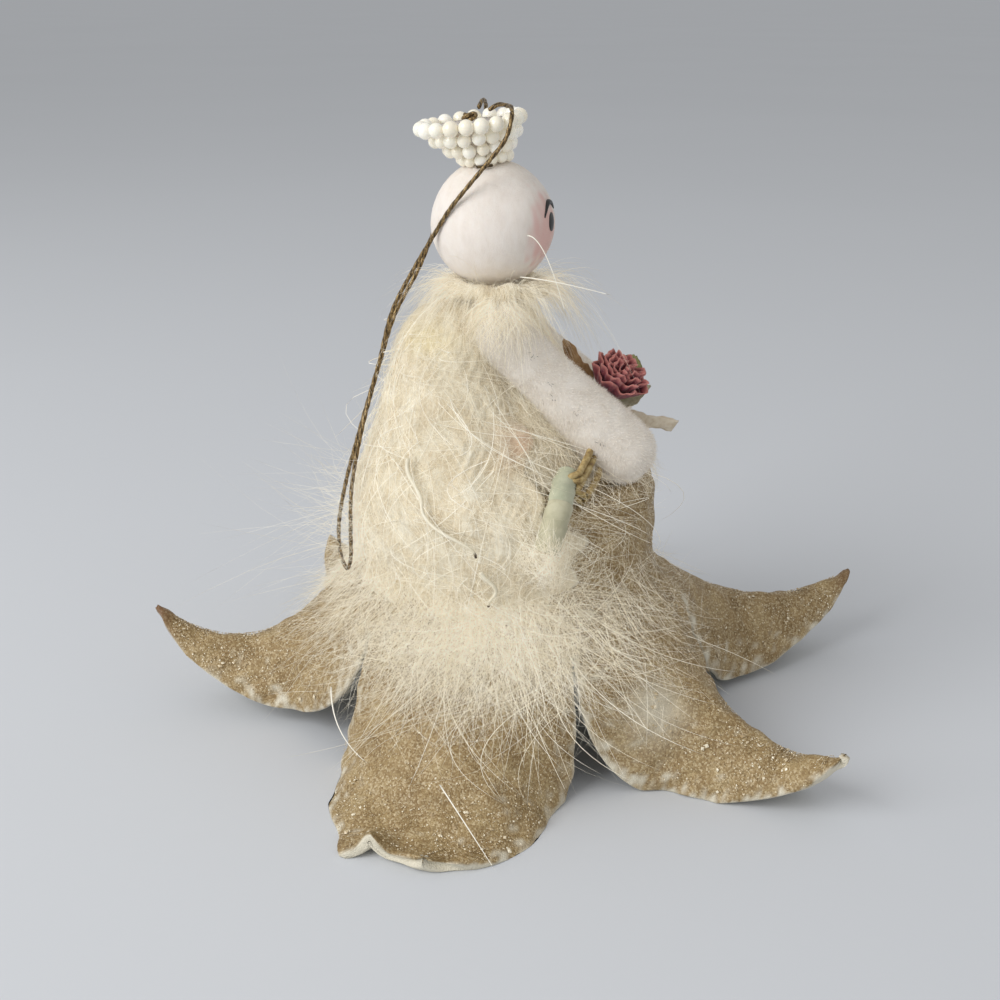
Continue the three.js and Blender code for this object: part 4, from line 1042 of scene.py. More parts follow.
@dataclass
class Head:
    """The spun-cotton head with its painted face, and the torso under the feathers."""

    eye_turn: float = 23.5
    eye_size: Pair = mm(3.2, 3.8)
    eye_rise: float = 3.5
    brow_reach: Pair = (10, 39)
    brow_rise: Triple = (14, 21.5, 9)
    brow_width: float = 0.85 * MM
    cheek_turn: float = 34
    cheek_rise: float = -6
    cheek_size: float = 31
    cheek_stretch: float = 1.6
    cheek_strength: float = 0.62
    eye_thickness: float = 0.16 * MM
    mouth_rise: float = -24
    mouth_size: Pair = mm(3.2, 1.1)
    mouth_thickness: float = 0.14 * MM

    def __post_init__(self) -> None:
        """Reads the head's place from the frame."""
        self.centre = middle_of("head_ball")

    def towards(self, turn: Array, rise: Array) -> Array:
        """Directions from the head's middle: turn from the front to the figure's left, rise over level."""
        turn, rise = np.radians(turn), np.radians(rise)
        parts = np.broadcast_arrays(np.cos(rise) * np.sin(turn), -np.cos(rise) * np.cos(turn), np.sin(rise))
        return np.stack(parts, -1)

    def ball(self, rows: int = 90, columns: int = 140) -> Shell:
        """A slightly uneven sphere, with a tall oval of blush on each cheek that fades by a smooth step."""
        rise = np.linspace(90, -90, rows + 1)[1:-1, None]
        turn = np.arange(columns)[None] * 360 / columns
        way = self.towards(turn, rise)
        ways = np.vstack([way.reshape(-1, 3), [0, 0, 1], [0, 0, -1]])
        radius = FIGURE.head_radius * (1 + 0.006 * lumps(ways, 0.9, 21) + 0.0015 * lumps(ways, 0.12, 22))
        points = self.centre + radius[:, None] * ways
        shell = sleeve(points[:-2].reshape(rows - 1, columns, 3), points[-2:])
        beside = np.abs(np.degrees(np.arctan2(ways[:, 0], -ways[:, 1]))) - self.cheek_turn
        over = (np.degrees(np.arcsin(np.clip(ways[:, 2], -1, 1))) - self.cheek_rise) / self.cheek_stretch
        apart = np.hypot(beside, over) / self.cheek_size + 0.08 * lumps(ways * (1, 1, 0.3), 0.16, 23)
        return shell.with_mark(Mark.BLUSH, self.cheek_strength * (1 - smoothstep(apart, 0.35, 1.0)))

    def daub(self, turn: float, rise: float, size: Pair, thick: float) -> Shell:
        """A spot of paint: a low lens on the sphere, its rim an ellipse and its height a parabola."""
        way = self.towards(np.array(turn), np.array(rise))
        across = unit(np.cross(way, (0, 0, 1.0)))
        over = np.cross(across, way)
        spread = np.concatenate([np.linspace(0.1, 1, 8), np.linspace(1, 0.1, 8)])[:, None]
        lift = np.concatenate([1 - np.linspace(0.1, 1, 8) ** 2, np.full(8, -1.0)])[:, None] * thick
        a, b = (spread * f(full_turn(28)) * s / 2 for f, s in zip((np.cos, np.sin), size))
        aim = unit(FIGURE.head_radius * way + a[..., None] * across + b[..., None] * over)
        rings = self.centre + (FIGURE.head_radius + lift[..., None]) * aim
        return sleeve(rings, (self.centre + (FIGURE.head_radius + thick) * way,
                              self.centre + (FIGURE.head_radius - thick) * way))

    def brow(self, hand: int) -> Shell:
        """A painted arch over an eye: a flat stroke along a parabola of rise over turn."""
        share = np.linspace(0, 1, 40)
        inner, crest, outer = self.brow_rise
        pull = 2 * crest - (inner + outer) / 2
        rise = inner * (1 - share) ** 2 + 2 * pull * share * (1 - share) + outer * share ** 2
        path = self.centre + FIGURE.head_radius * self.towards(hand * lerp(*self.brow_reach, share), rise)
        radius = self.brow_width / 2 * (0.25 + np.sin(np.pi * lerp(0.06, 0.94, share)))
        return tube(path, radius, 10, unit(path.mean(0) - self.centre))

    def torso(self) -> Shell:
        """The body: the torso's outline turned about the axis, leaning back."""
        z = np.linspace(FIGURE.torso_foot, FIGURE.torso_top, 48)[:, None]
        ends = [FIGURE.round_point(0, 0, level) for level in (FIGURE.torso_foot, FIGURE.torso_top)]
        shell = sleeve(FIGURE.round_point(FIGURE.torso_at(z), full_turn(96), z), ends)
        return shell.with_mark(Mark.BLUSH, 0.0).with_mark(Mark.STAIN, 0.0)

    def build(self) -> None:
        """Places the torso, the head and its paint."""
        place("torso_body", self.torso(), DOWN_BASE, "marabou", ["torso_cone"])
        place("head_cotton", self.ball(), SPUN_COTTON, "spun_cotton", ["head_ball"])
        for hand, label in ((-1, "right"), (1, "left")):
            eye = self.daub(hand * self.eye_turn, self.eye_rise, self.eye_size, self.eye_thickness)
            place(f"{label}_eye_paint", eye, BLACK_PAINT, "spun_cotton")
            place(f"{label}_brow_paint", self.brow(hand), BLACK_PAINT, "spun_cotton")
        mouth = self.daub(0, self.mouth_rise, self.mouth_size, self.mouth_thickness)
        place("mouth_paint", mouth, RED_PAINT, "spun_cotton")


@dataclass
class Crown:
    """Four strings of pearls round a flared plug, and the knot of the loop on top."""

    rows: int = 4
    foot_radius: float = 4.7 * MM
    flare: float = np.radians(37)
    tilt: float = np.radians(7)
    lean: float = np.radians(16)
    foot_bead: float = 2 * MM
    rim_bead: float = 2.6 * MM
    swell: float = 1.18
    bead_shift: float = 0.1 * MM
    bead_sizes: Pair = (0.96, 1.08)
    tie_reach: Pair = (158, 190)
    tie_drop: float = 1.1 * MM
    tie_radius: float = 0.28 * MM
    tie_shade: float = 0.7
    knot_radius: float = 0.9 * MM
    knot_strand: float = 0.8 * MM

    def __post_init__(self) -> None:
        """Works out each row's radius, height over the head's middle, set-back and bead size."""
        self.beads = np.linspace(self.foot_bead, self.rim_bead, self.rows)
        steps = np.concatenate([[0], (self.beads[1:] + self.beads[:-1]) / 2 + 2 * FIGURE.gap])
        up = np.cumsum(steps)
        seat = FIGURE.head_radius + FIGURE.gap + self.foot_bead / 2
        self.radii = self.foot_radius + up * np.sin(self.flare)
        self.heights = np.sqrt(seat ** 2 - self.foot_radius ** 2) + up * np.cos(self.flare)
        self.set_backs = up * np.cos(self.flare) * np.tan(self.lean)

    def on_head(self, points: Array) -> Array:
        """Takes points from the crown's own upright frame to the tilted crown on the head."""
        turn = np.array(Matrix.Rotation(-self.tilt, 3, "X"))
        return points @ turn.T + middle_of("head_ball")

    def string(self, row: int) -> Shell:
        """One string of pearls: beads at equal turns on the row's circle, each a little different."""
        draw = np.random.default_rng(70 + row)
        bead, radius = self.beads[row] * self.swell, self.radii[row]
        count = int(2 * np.pi * radius / bead + 0.5)
        turn = (np.arange(count) + 0.5 * row) * 2 * np.pi / count
        centres = turned(radius, turn, self.heights[row]) + (0, self.set_backs[row], 0)
        centres += draw.normal(scale=self.bead_shift, size=centres.shape)
        sizes = bead / 2 * draw.uniform(*self.bead_sizes, count)
        return balls(self.on_head(centres), sizes, draw.uniform(size=count))

    def plug(self) -> Shell:
        """The core: a flared plug just inside the beads, its top hollowed a little."""
        inset = (self.beads / 2 + FIGURE.gap) / np.cos(self.flare)
        radius = np.concatenate([[self.radii[0] - inset[0]], self.radii - inset, [1 * MM]])
        height = np.concatenate([[self.heights[0] - 1.6 * MM], self.heights, [self.heights[-1] - 1.2 * MM]])
        back = np.concatenate([[0], self.set_backs, [self.set_backs[-1]]])
        rings = turned(radius[:, None], full_turn(64), height[:, None])
        rings[..., 1] += back[:, None]
        return sleeve(self.on_head(rings)).with_mark(Mark.BLUSH, 0.0)

    def knot(self) -> Shell:
        """The loop's knot: a thread that winds three times round while it goes twice about."""
        turn = np.linspace(0, 2 * np.pi, 120)
        reach = self.knot_radius * (2 + np.cos(3 * turn)) / 2
        lift = self.heights[-1] + FIGURE.gap + self.knot_radius / 2 + self.knot_strand / 2
        path = turned(reach, 2 * turn, self.knot_radius * np.sin(3 * turn) / 2)
        path = path + (0, self.set_backs[-1], lift)
        shell = tube(self.on_head(path), self.knot_strand / 2, 8, (0.2, 0.1, 1.0))
        return shell.with_mark(Mark.GROOVE_SHADE_AND_DARK_THREAD, 0.0)

    def tie(self) -> Shell:
        """A short dark thread on the figure's right: an arc just outside the lowest beads."""
        radius = self.radii[0] + 0.5 * self.foot_bead
        path = turned(radius, np.radians(np.linspace(*self.tie_reach, 24)), self.heights[0] - self.tie_drop)
        shell = tube(self.on_head(path), self.tie_radius, 8, (0.0, 0.1, 1.0))
        return shell.with_mark(Mark.GROOVE_SHADE_AND_DARK_THREAD, self.tie_shade)

    def build(self) -> bpy.types.Object:
        """Places the crown.

        Returns:
            The knot, which belongs to the hanging loop.
        """
        place("crown_plug", self.plug(), SPUN_COTTON, "spun_cotton", ["crown_core"])
        for row in range(self.rows):
            name = f"crown_bead_row_{row + 1}"
            place(f"pearl_string_{row + 1}", self.string(row), PEARL, "pearl", [name])
        place("crown_tie_thread", self.tie(), CORD, "metallic_cord")
        return place("loop_knot_thread", self.knot(), CORD, "metallic_cord", ["loop_knot"])


@dataclass
class HangingLoop:
    """The metallic cord, from the knot over the right rim, down the back and behind the head to the knot.

    Its points are the solid's own, in mm about the skirt's axis.
    """

    diameter: float = 0.9 * MM
    lay_length: float = 2.6 * MM
    groove: float = 0.34
    sides: int = 14
    rings: int = 1400
    path_step: int = 4
    off_path: Triple = (0.45, 0.6, 0.0)
    points: tuple[Triple, ...] = (
        (-1.0, 4.2, 128.8), (-2.2, 2.6, 129.8), (-5.1, 1.0, 129.8), (-8.8, 0.6, 129.6), (-11.6, 0.9, 127.8),
        (-12.2, 2.0, 124.4), (-11.5, 4.9, 120.4), (-10.6, 8.9, 115.6), (-8.8, 12.7, 110.6),
        (-5.2, 16.0, 104.6),
        (-2.5, 19.7, 98.0), (-1.0, 24.2, 89.2), (-1.2, 27.3, 78.2), (-1.8, 31.4, 65.2), (-2.5, 35.1, 52.5),
        (-3.1, 36.8, 43.5), (-4.4, 36.6, 37.4), (-6.9, 35.3, 35.2), (-8.7, 34.4, 38.2), (-8.4, 34.2, 44.5),
        (-6.2, 33.7, 53.0), (-4.0, 31.1, 65.4), (0.4, 27.2, 77.6), (1.9, 23.6, 88.0), (3.6, 18.6, 96.8),
        (7.3, 15.1, 104.0), (10.7, 11.6, 111.0), (12.5, 7.6, 117.4), (13.0, 4.8, 123.6), (12.0, 3.9, 128.0),
        (8.8, 4.4, 129.8), (5.0, 5.3, 129.9), (2.6, 6.0, 129.0))

    def build(self, knot: bpy.types.Object) -> None:
        """Places the cord: two plies twisted round each other along the route.

        The section's radius has two lobes, the absolute cosine of the turn less the twist so far.

        Args:
            knot: The piece that sits on the cord. It is not used.
        """
        knots = np.array(self.points) * MM + SKIRT_AXIS
        path = route(knots, self.rings)
        run = np.concatenate([[0], np.cumsum(np.linalg.norm(np.diff(path, axis=0), axis=1))])
        lobe = np.abs(np.cos(full_turn(self.sides) - np.pi * run[:, None] / self.lay_length))
        reach = self.diameter / 2 * (1 - self.groove + self.groove * np.sqrt(lobe))
        shell = swept(path, reach, np.array(self.off_path))
        # Painted shade: the grooves between the plies are marked to be painted near black.
        groove = np.concatenate([(1 - smoothstep(lobe, 0.1, 0.6)).ravel(), [0, 0]])
        cord = place("hanging_cord", shell.with_mark(Mark.GROOVE_SHADE_AND_DARK_THREAD, groove), CORD, "metallic_cord",
                     ["hanging_loop"])


@dataclass
class Arm:
    """A chenille arm: a limb that swells to a rounded hand, with its pile."""

    label: str
    hand: int
    body: Body
    speckled: bool
    length: float = 34.4 * MM
    pitch: float = np.radians(44.7)
    splay: float = np.radians(2)
    shoulder_radius: float = 5.4 * MM
    hand_radius: float = 6.7 * MM
    sag: float = 2.2 * MM
    fibres: int = 26000
    fibre_length: float = 0.85 * MM
    fibre_width: float = 0.09 * MM
    fibre_root: float = 0.15 * MM
    combed: float = 0.5
    tangled: float = 0.5
    specks_each: int = 7
    speck_width: float = 0.1 * MM
    speck_length: float = 0.35 * MM
    speck_lift: float = 0.55 * MM
    speck_places: tuple[Pair, ...] = ((6, 20), (12.5, 4), (15, -14), (20.5, -4), (28, -8))

    def __post_init__(self) -> None:
        """Reads the shoulder's place from the frame's joint."""
        joint = next(j for j in frame["joints"] if j["name"] == f"{self.label}_shoulder")
        self.shoulder = np.array(joint["pos_m"], float)
        reach = (self.hand * np.sin(self.splay), -np.cos(self.pitch), -np.sin(self.pitch))
        self.axis = unit(np.array(reach))
        self.outer = unit(np.cross(np.cross(self.axis, (-1.0, 0, 0)), self.axis))
        self.upper = np.cross(self.outer, self.axis)

    def at(self, along: Array) -> Array:
        """Points on the limb's middle line."""
        return self.shoulder + np.asarray(along)[..., None] * self.axis

    def spine(self, along: Array) -> Array:
        """Points on the limb's own middle line, which sags a little below the hinge's line."""
        return self.at(along) - self.sag * self.upper

    def surface(self, u: Array, turn: Array) -> Array:
        """The limb's skin: half a ball, a swelling flank and a second half ball, u from 0 to 1 along them."""
        first, last = self.shoulder_radius, self.hand_radius
        total = first + self.length + last
        z = u * total - first
        flank = lerp(first, last, smoothstep(z, 0.3 * self.length, self.length))
        start = np.sqrt(np.clip(first ** 2 - np.minimum(z, 0) ** 2, 0, None))
        stop = np.sqrt(np.clip(last ** 2 - np.maximum(z - self.length, 0) ** 2, 0, None))
        radius = np.where(z < 0, start, np.where(z > self.length, stop, flank))
        ring = np.cos(turn)[..., None] * self.outer + np.sin(turn)[..., None] * self.upper
        return self.spine(z) + radius[..., None] * ring

    def limb(self) -> Shell:
        """The limb's closed, slightly lumpy body, its rings closer together at the round ends."""
        share = (1 - np.cos(np.linspace(0, np.pi, 72))) / 2
        u, turn = np.meshgrid(share[1:-1], full_turn(64), indexing="ij")
        points = self.surface(u, turn)
        middle = points.mean(axis=1, keepdims=True)
        points = points + unit(points - middle) * (0.05 * MM * lumps(points, 6 * MM, 31))[..., None]
        return sleeve(points, self.spine(np.array([-self.shoulder_radius, self.length + self.hand_radius])))

    def fuzz(self) -> Shell:
        """The pile: fibres that stand off the skin, combed a little towards the hand."""
        draw = np.random.default_rng(51 + self.hand)
        u, turn = draw.uniform(0.03, 0.985, self.fibres), draw.uniform(0, 2 * np.pi, self.fibres)
        roots = self.surface(u, turn)
        out = unit(np.cross(self.surface(u, turn + 1e-3) - roots, self.surface(u + 1e-3, turn) - roots))
        out = np.where(((roots - self.spine(u * self.length)) * out).sum(-1, keepdims=True) < 0, -out, out)
        lean = unit(out + self.combed * self.axis + draw.normal(scale=self.tangled, size=out.shape))
        length = self.fibre_length * draw.uniform(0.45, 1.1, (self.fibres, 1))
        feet, tips = roots - out * self.fibre_root, roots + lean * length
        return pile(feet, tips, self.fibre_width, draw.uniform(size=self.fibres))

    def specks(self) -> Shell:
        """Short dark fibres standing out of the pile, in small clusters along the side of the arm."""
        draw = np.random.default_rng(57)
        places = np.repeat(np.array(self.speck_places), self.specks_each, axis=0)
        total = self.shoulder_radius + self.length + self.hand_radius
        u = (places[:, 0] * MM + self.shoulder_radius + draw.normal(scale=0.5 * MM, size=len(places))) / total
        turn = np.radians(places[:, 1]) + draw.normal(scale=0.07, size=len(places))
        roots = self.surface(u, turn) + self.outer * self.speck_lift
        tips = roots + draw.normal(scale=self.speck_length, size=roots.shape) + self.outer * 0.3 * MM
        return pile(roots, tips, self.speck_width, draw.uniform(size=len(roots)))

    def build(self) -> None:
        """Places the limb, its pile and, on a speckled arm, the specks."""
        place(f"{self.label}_arm_limb", self.limb(), PLUSH, "chenille", [f"{self.label}_arm"], self.body)
        place(f"{self.label}_arm_pile", self.fuzz(), PILE, "chenille", body=self.body, smooth=False)
        if self.speckled:
            place(f"{self.label}_arm_specks", self.specks(), SPECK, "chenille", body=self.body, smooth=False)


@dataclass(frozen=True)
class Blade:
    """A leaf or strip of the bouquet.

    Attributes:
        node: The solid that it stands for.
        finish: Its finish, whose name is also its slot.
        heading: Its direction about the bouquet's axis, in degrees.
        length: How far it runs out.
        width: Its greatest width.
        rise: Its slope at the stem.
        curl: How much steeper it gets.
        roll: How far it is turned about its own length, in degrees.
        cut: 0 for a pointed blade, 1 for a strip of even width.
        thickness: Its thickness.
        drop: How far it starts below the bouquet's base.
    """

    node: str
    finish: Finish
    heading: float
    length: float
    width: float
    rise: float
    curl: float
    roll: float = 0
    cut: float = 0
    thickness: float = 0.35 * MM
    drop: float = 1.2 * MM


@dataclass
class Bouquet:
    """The bouquet in the right hand: ribbons round straw stems, a rose, leaves and a cream strip."""

    arm: Arm
    foot_heading: float = np.radians(186)
    shoulder_heading: float = np.radians(192)
    lid_heading: float = np.radians(199)
    foot_height: float = 48.5 * MM
    crossing_reach: float = 22 * MM
    crossing_drop: float = 9.6 * MM
    from_hand: Triple = mm(9.3, 3.6, 5.4)
    aim: Triple = (0.2, -0.45, 0.87)
    neck: float = 3 * MM
    wrap_clear: float = 4.05 * MM
    wrap_inner: float = 2.1 * MM
    wrap_wall: float = 0.45 * MM
    mint_start: float = 0.55
    pale_start: float = 0.77
    rose_radius: float = 5.9 * MM
    rose_height: float = 7 * MM
    rose_lift: float = 3 * MM
    rose_tilt: float = np.radians(-32)
    rose_shift: Triple = mm(-1, 0.9, 0.3)
    rose_rings: tuple[tuple[float, ...], ...] = (
        (0.3, 1.0, 0.0, 0.72, 7, 0.3), (0.26, 0.86, 0.06, 0.9, 8, 1.9), (0.2, 0.66, 0.1, 0.98, 7, 3.1),
        (0.14, 0.46, 0.12, 1.02, 6, 4.4), (0.06, 0.26, 0.14, 1.03, 5, 5.2))
    rose_cloth: float = 0.3 * MM
    mint_turns: float = 2.4
    pale_turns: float = 2.0
    wrap_lap: float = 0.02
    wrap_end: float = 0.99
    pale_over: float = 0.15 * MM
    blades: tuple[Blade, ...] = (
        Blade("leaf_brown", BROWN_LEAF, 88, 14 * MM, 6.4 * MM, 0.26, 0.4, 62),
        Blade("leaf_olive", OLIVE_LEAF, -24, 6 * MM, 8 * MM, 1.5, 0.7),
        Blade("leaf_pale", PALE_LEAF, -72, 8 * MM, 5.5 * MM, 0.6, 0.5, 20),
        Blade("cream_strip", CREAM, -88, 15.6 * MM, 3.2 * MM, 0.12, 0.1, -58, cut=1))
    straws: int = 5
    straw_fan: Pair = mm(1.3, 3.4)
    straw_radius: float = 0.68 * MM
    straw_bow: Triple = mm(-3.2, -1.2, 0.4)

    def __post_init__(self) -> None:
        """Works out the bouquet's base, its axes and the route of the stems."""
        self.base = self.arm.at(np.array(self.arm.length)) + np.array(self.from_hand)
        self.axis = unit(np.array(self.aim))
        self.turn = np.array(Vector((0, 0, 1)).rotation_difference(Vector(self.axis)).to_matrix())
        clear = self.wrap_clear
        bend = FIGURE.shoulder_round + clear
        edge = FIGURE.bell_radius - FIGURE.shoulder_round
        half = np.sqrt(0.5)
        crossing = self.arm.at(np.array(self.crossing_reach)) - (0, 0, self.crossing_drop)
        self.stems = np.array([
            self.on_bell(self.foot_heading, FIGURE.bell_radius + clear, self.foot_height),
            self.on_bell(self.shoulder_heading, edge + bend * half, FIGURE.wall_top + bend * half),
            self.on_bell(self.lid_heading, edge, FIGURE.wall_top + bend),
            crossing, self.base - self.axis * self.neck, self.base])

    def on_bell(self, heading: float, radius: float, z: float) -> Array:
        """A point at a heading and radius about the skirt's axis."""
        return turned(radius, heading, z) + SKIRT_AXIS

    def placed(self, points: Array) -> Array:
        """Takes points from the bouquet's own frame, with its axis upright, to its place."""
        return points @ self.turn.T + self.base

    def straw(self, index: int) -> Shell:
        """One stem: a thin tube beside the bundle's route, in a fan that opens above the ribbons."""
        path = route(self.stems, 70)
        share = np.linspace(0, 1, 70)
        across, over = sideways(path, (1.0, 0.0, 0.3))
        rank = 2 * index / (self.straws - 1) - 1
        opened = smoothstep(share, 0.36, 0.46)
        fan = (rank - 0.55 * opened) * lerp(*self.straw_fan, opened) * (1 - 0.8 * smoothstep(share, 0.75, 1))
        stagger = 0.7 * MM * np.cos(2.4 * index + 2 * share) - 1.2 * MM * opened * (1 - share)
        path = path + fan[:, None] * across + stagger[:, None] * over
        bowed = opened * (1 - smoothstep(share, 0.6, 0.8)) * (1.25 - 0.5 * rank)
        path = path + bowed[:, None] * np.array(self.straw_bow)
        radius = self.straw_radius * (1 + 0.1 * np.sin(9 * share + 2 * index))
        return tube(path, radius, 10, (0.1, 1.0, 0.2))

    def ribbon(self, start: float, end: float, turns: float, over_by: float = 0.0) -> Shell:
        """A ribbon wound round the stems: a tube whose radius steps up along a helix, where the edge lies."""
        path = route(self.stems, 60, 1 - end, 1 - start)
        share = np.linspace(0, 1, 60)
        turn = full_turn(40)
        step = (share[:, None] * turns + turn / (2 * np.pi)) % 1
        wall = self.wrap_wall * (0.45 + 0.55 * step) * (1 + 0.06 * np.cos(3 * turn))
        return swept(path, self.wrap_inner + over_by + wall, (0.1, 1.0, 0.2))

    def frill(self, foot: float, rim: float, low: float, high: float, ruffles: int, phase: float) -> Shell:
        """One ring of the rose: a thin wall from its foot up to a rim that ruffles more the further it goes.

        Args:
            foot: The foot's radius as a share of the rose's.
            rim: The rim's radius likewise.
            low: The foot's height as a share of the rose's.
            high: The rim's height likewise.
            ruffles: Waves round the rim.
            phase: Where the waves start.

        Returns:
            The closed ring, marked with tip towards its rim.
        """
        rise = np.linspace(0, 1, 14)
        up = np.concatenate([rise, rise[::-1]])[None]
        face = np.concatenate([np.full(14, 0.5), np.full(14, -0.5)])[None]
        turn = full_turn(220)[:, None]
        wave = np.cos(ruffles * turn + phase) + 0.5 * np.cos((2 * ruffles + 3) * turn + 2 * phase)
        reach = lerp(foot, rim, up ** 0.8) + 0.1 * up ** 2 * wave
        height = lerp(low, high, up ** 1.3) + 0.09 * up ** 2 * np.sin(ruffles * turn + 1.7 * phase)
        reach = self.rose_radius * reach + self.rose_cloth * face
        points = turned(reach, turn, self.rose_height * height)
        points = points @ np.array(Matrix.Rotation(self.rose_tilt, 3, "Y")).T
        shell = hoop(self.placed(points + (0, 0, self.rose_lift)) + self.rose_shift)
        edge = 0.8 * smoothstep(up + 0 * turn, 0.85, 1.0)
        return shell.with_mark(Mark.TIP, edge.ravel())

    def rose(self) -> Shell:
        """The bloom: frilled rings, one inside the other, from a low wide one to a tight heart."""
        return joined(self.frill(*ring) for ring in self.rose_rings)

    def leaf(self, blade: Blade) -> Shell:
        """A thin blade: its width follows a sine, and it rises, curls, and folds along the midrib."""
        length, width = blade.length, blade.width
        start = self.wrap_inner / length
        u = np.linspace(0, 1, 36)[:, None]
        side = np.linspace(-1, 1, 15)[None]
        share = lerp(start, 1, u)
        outline = lerp(np.sin(np.pi * lerp(0.06, 0.97, u ** 0.8)), 1.0, blade.cut)
        half = width / 2 * outline * (1 + 0.06 * np.sin(40 * u + 9 * side))
        height = length * (blade.rise * share + blade.curl * share ** 2) + 0.1 * width * side ** 2
        height = height + 0.06 * width * np.sin(14 * u + 3 * side) * np.abs(side)
        lean = np.radians(blade.roll)
        aside, above = half * side * np.cos(lean), half * side * np.sin(lean)
        sheet = np.stack(np.broadcast_arrays(length * share, aside, height + above - blade.drop), -1)
        turn = np.array(Matrix.Rotation(np.radians(blade.heading), 3, "Z"))
        top = self.placed(sheet @ turn.T)
        down = np.array([0, np.sin(lean), -np.cos(lean)]) * blade.thickness
        return slab(top, self.placed((sheet + down) @ turn.T))

    def build(self) -> None:
        """Places the ribbons, the rose and the leaves, and dresses the straw."""
        body = Body.RIGHT_ARM
        mint = self.ribbon(self.mint_start, self.pale_start + self.wrap_lap, self.mint_turns)
        place("mint_ribbon", mint, MINT, MINT.name, ["mint_wrap"], body)
        pale = self.ribbon(self.pale_start, self.wrap_end, self.pale_turns, self.pale_over)
        place("pale_green_ribbon", pale, PALE_GREEN, PALE_GREEN.name, ["pale_wrap"], body)
        place("rose_bloom", self.rose(), ROSE, "rose_paper", ["rose_head"], body)
        for blade in self.blades:
            finish = blade.finish
            place(f"{blade.node}_blade", self.leaf(blade), finish, finish.name, [blade.node], body)
        for index in range(self.straws):
            node = f"straw_stem_{index + 1}"
            place(f"{node}_stalk", self.straw(index), STRAW, "straw", [node], body)


def dress(node: str, finish: Finish) -> None:
    """Gives a solid that stays in view its finish."""
    slots = frame["nodes"][node].data.materials
    slots.clear()
    slots.append(finish.material())
    LOG.info("%s: dressed", node)


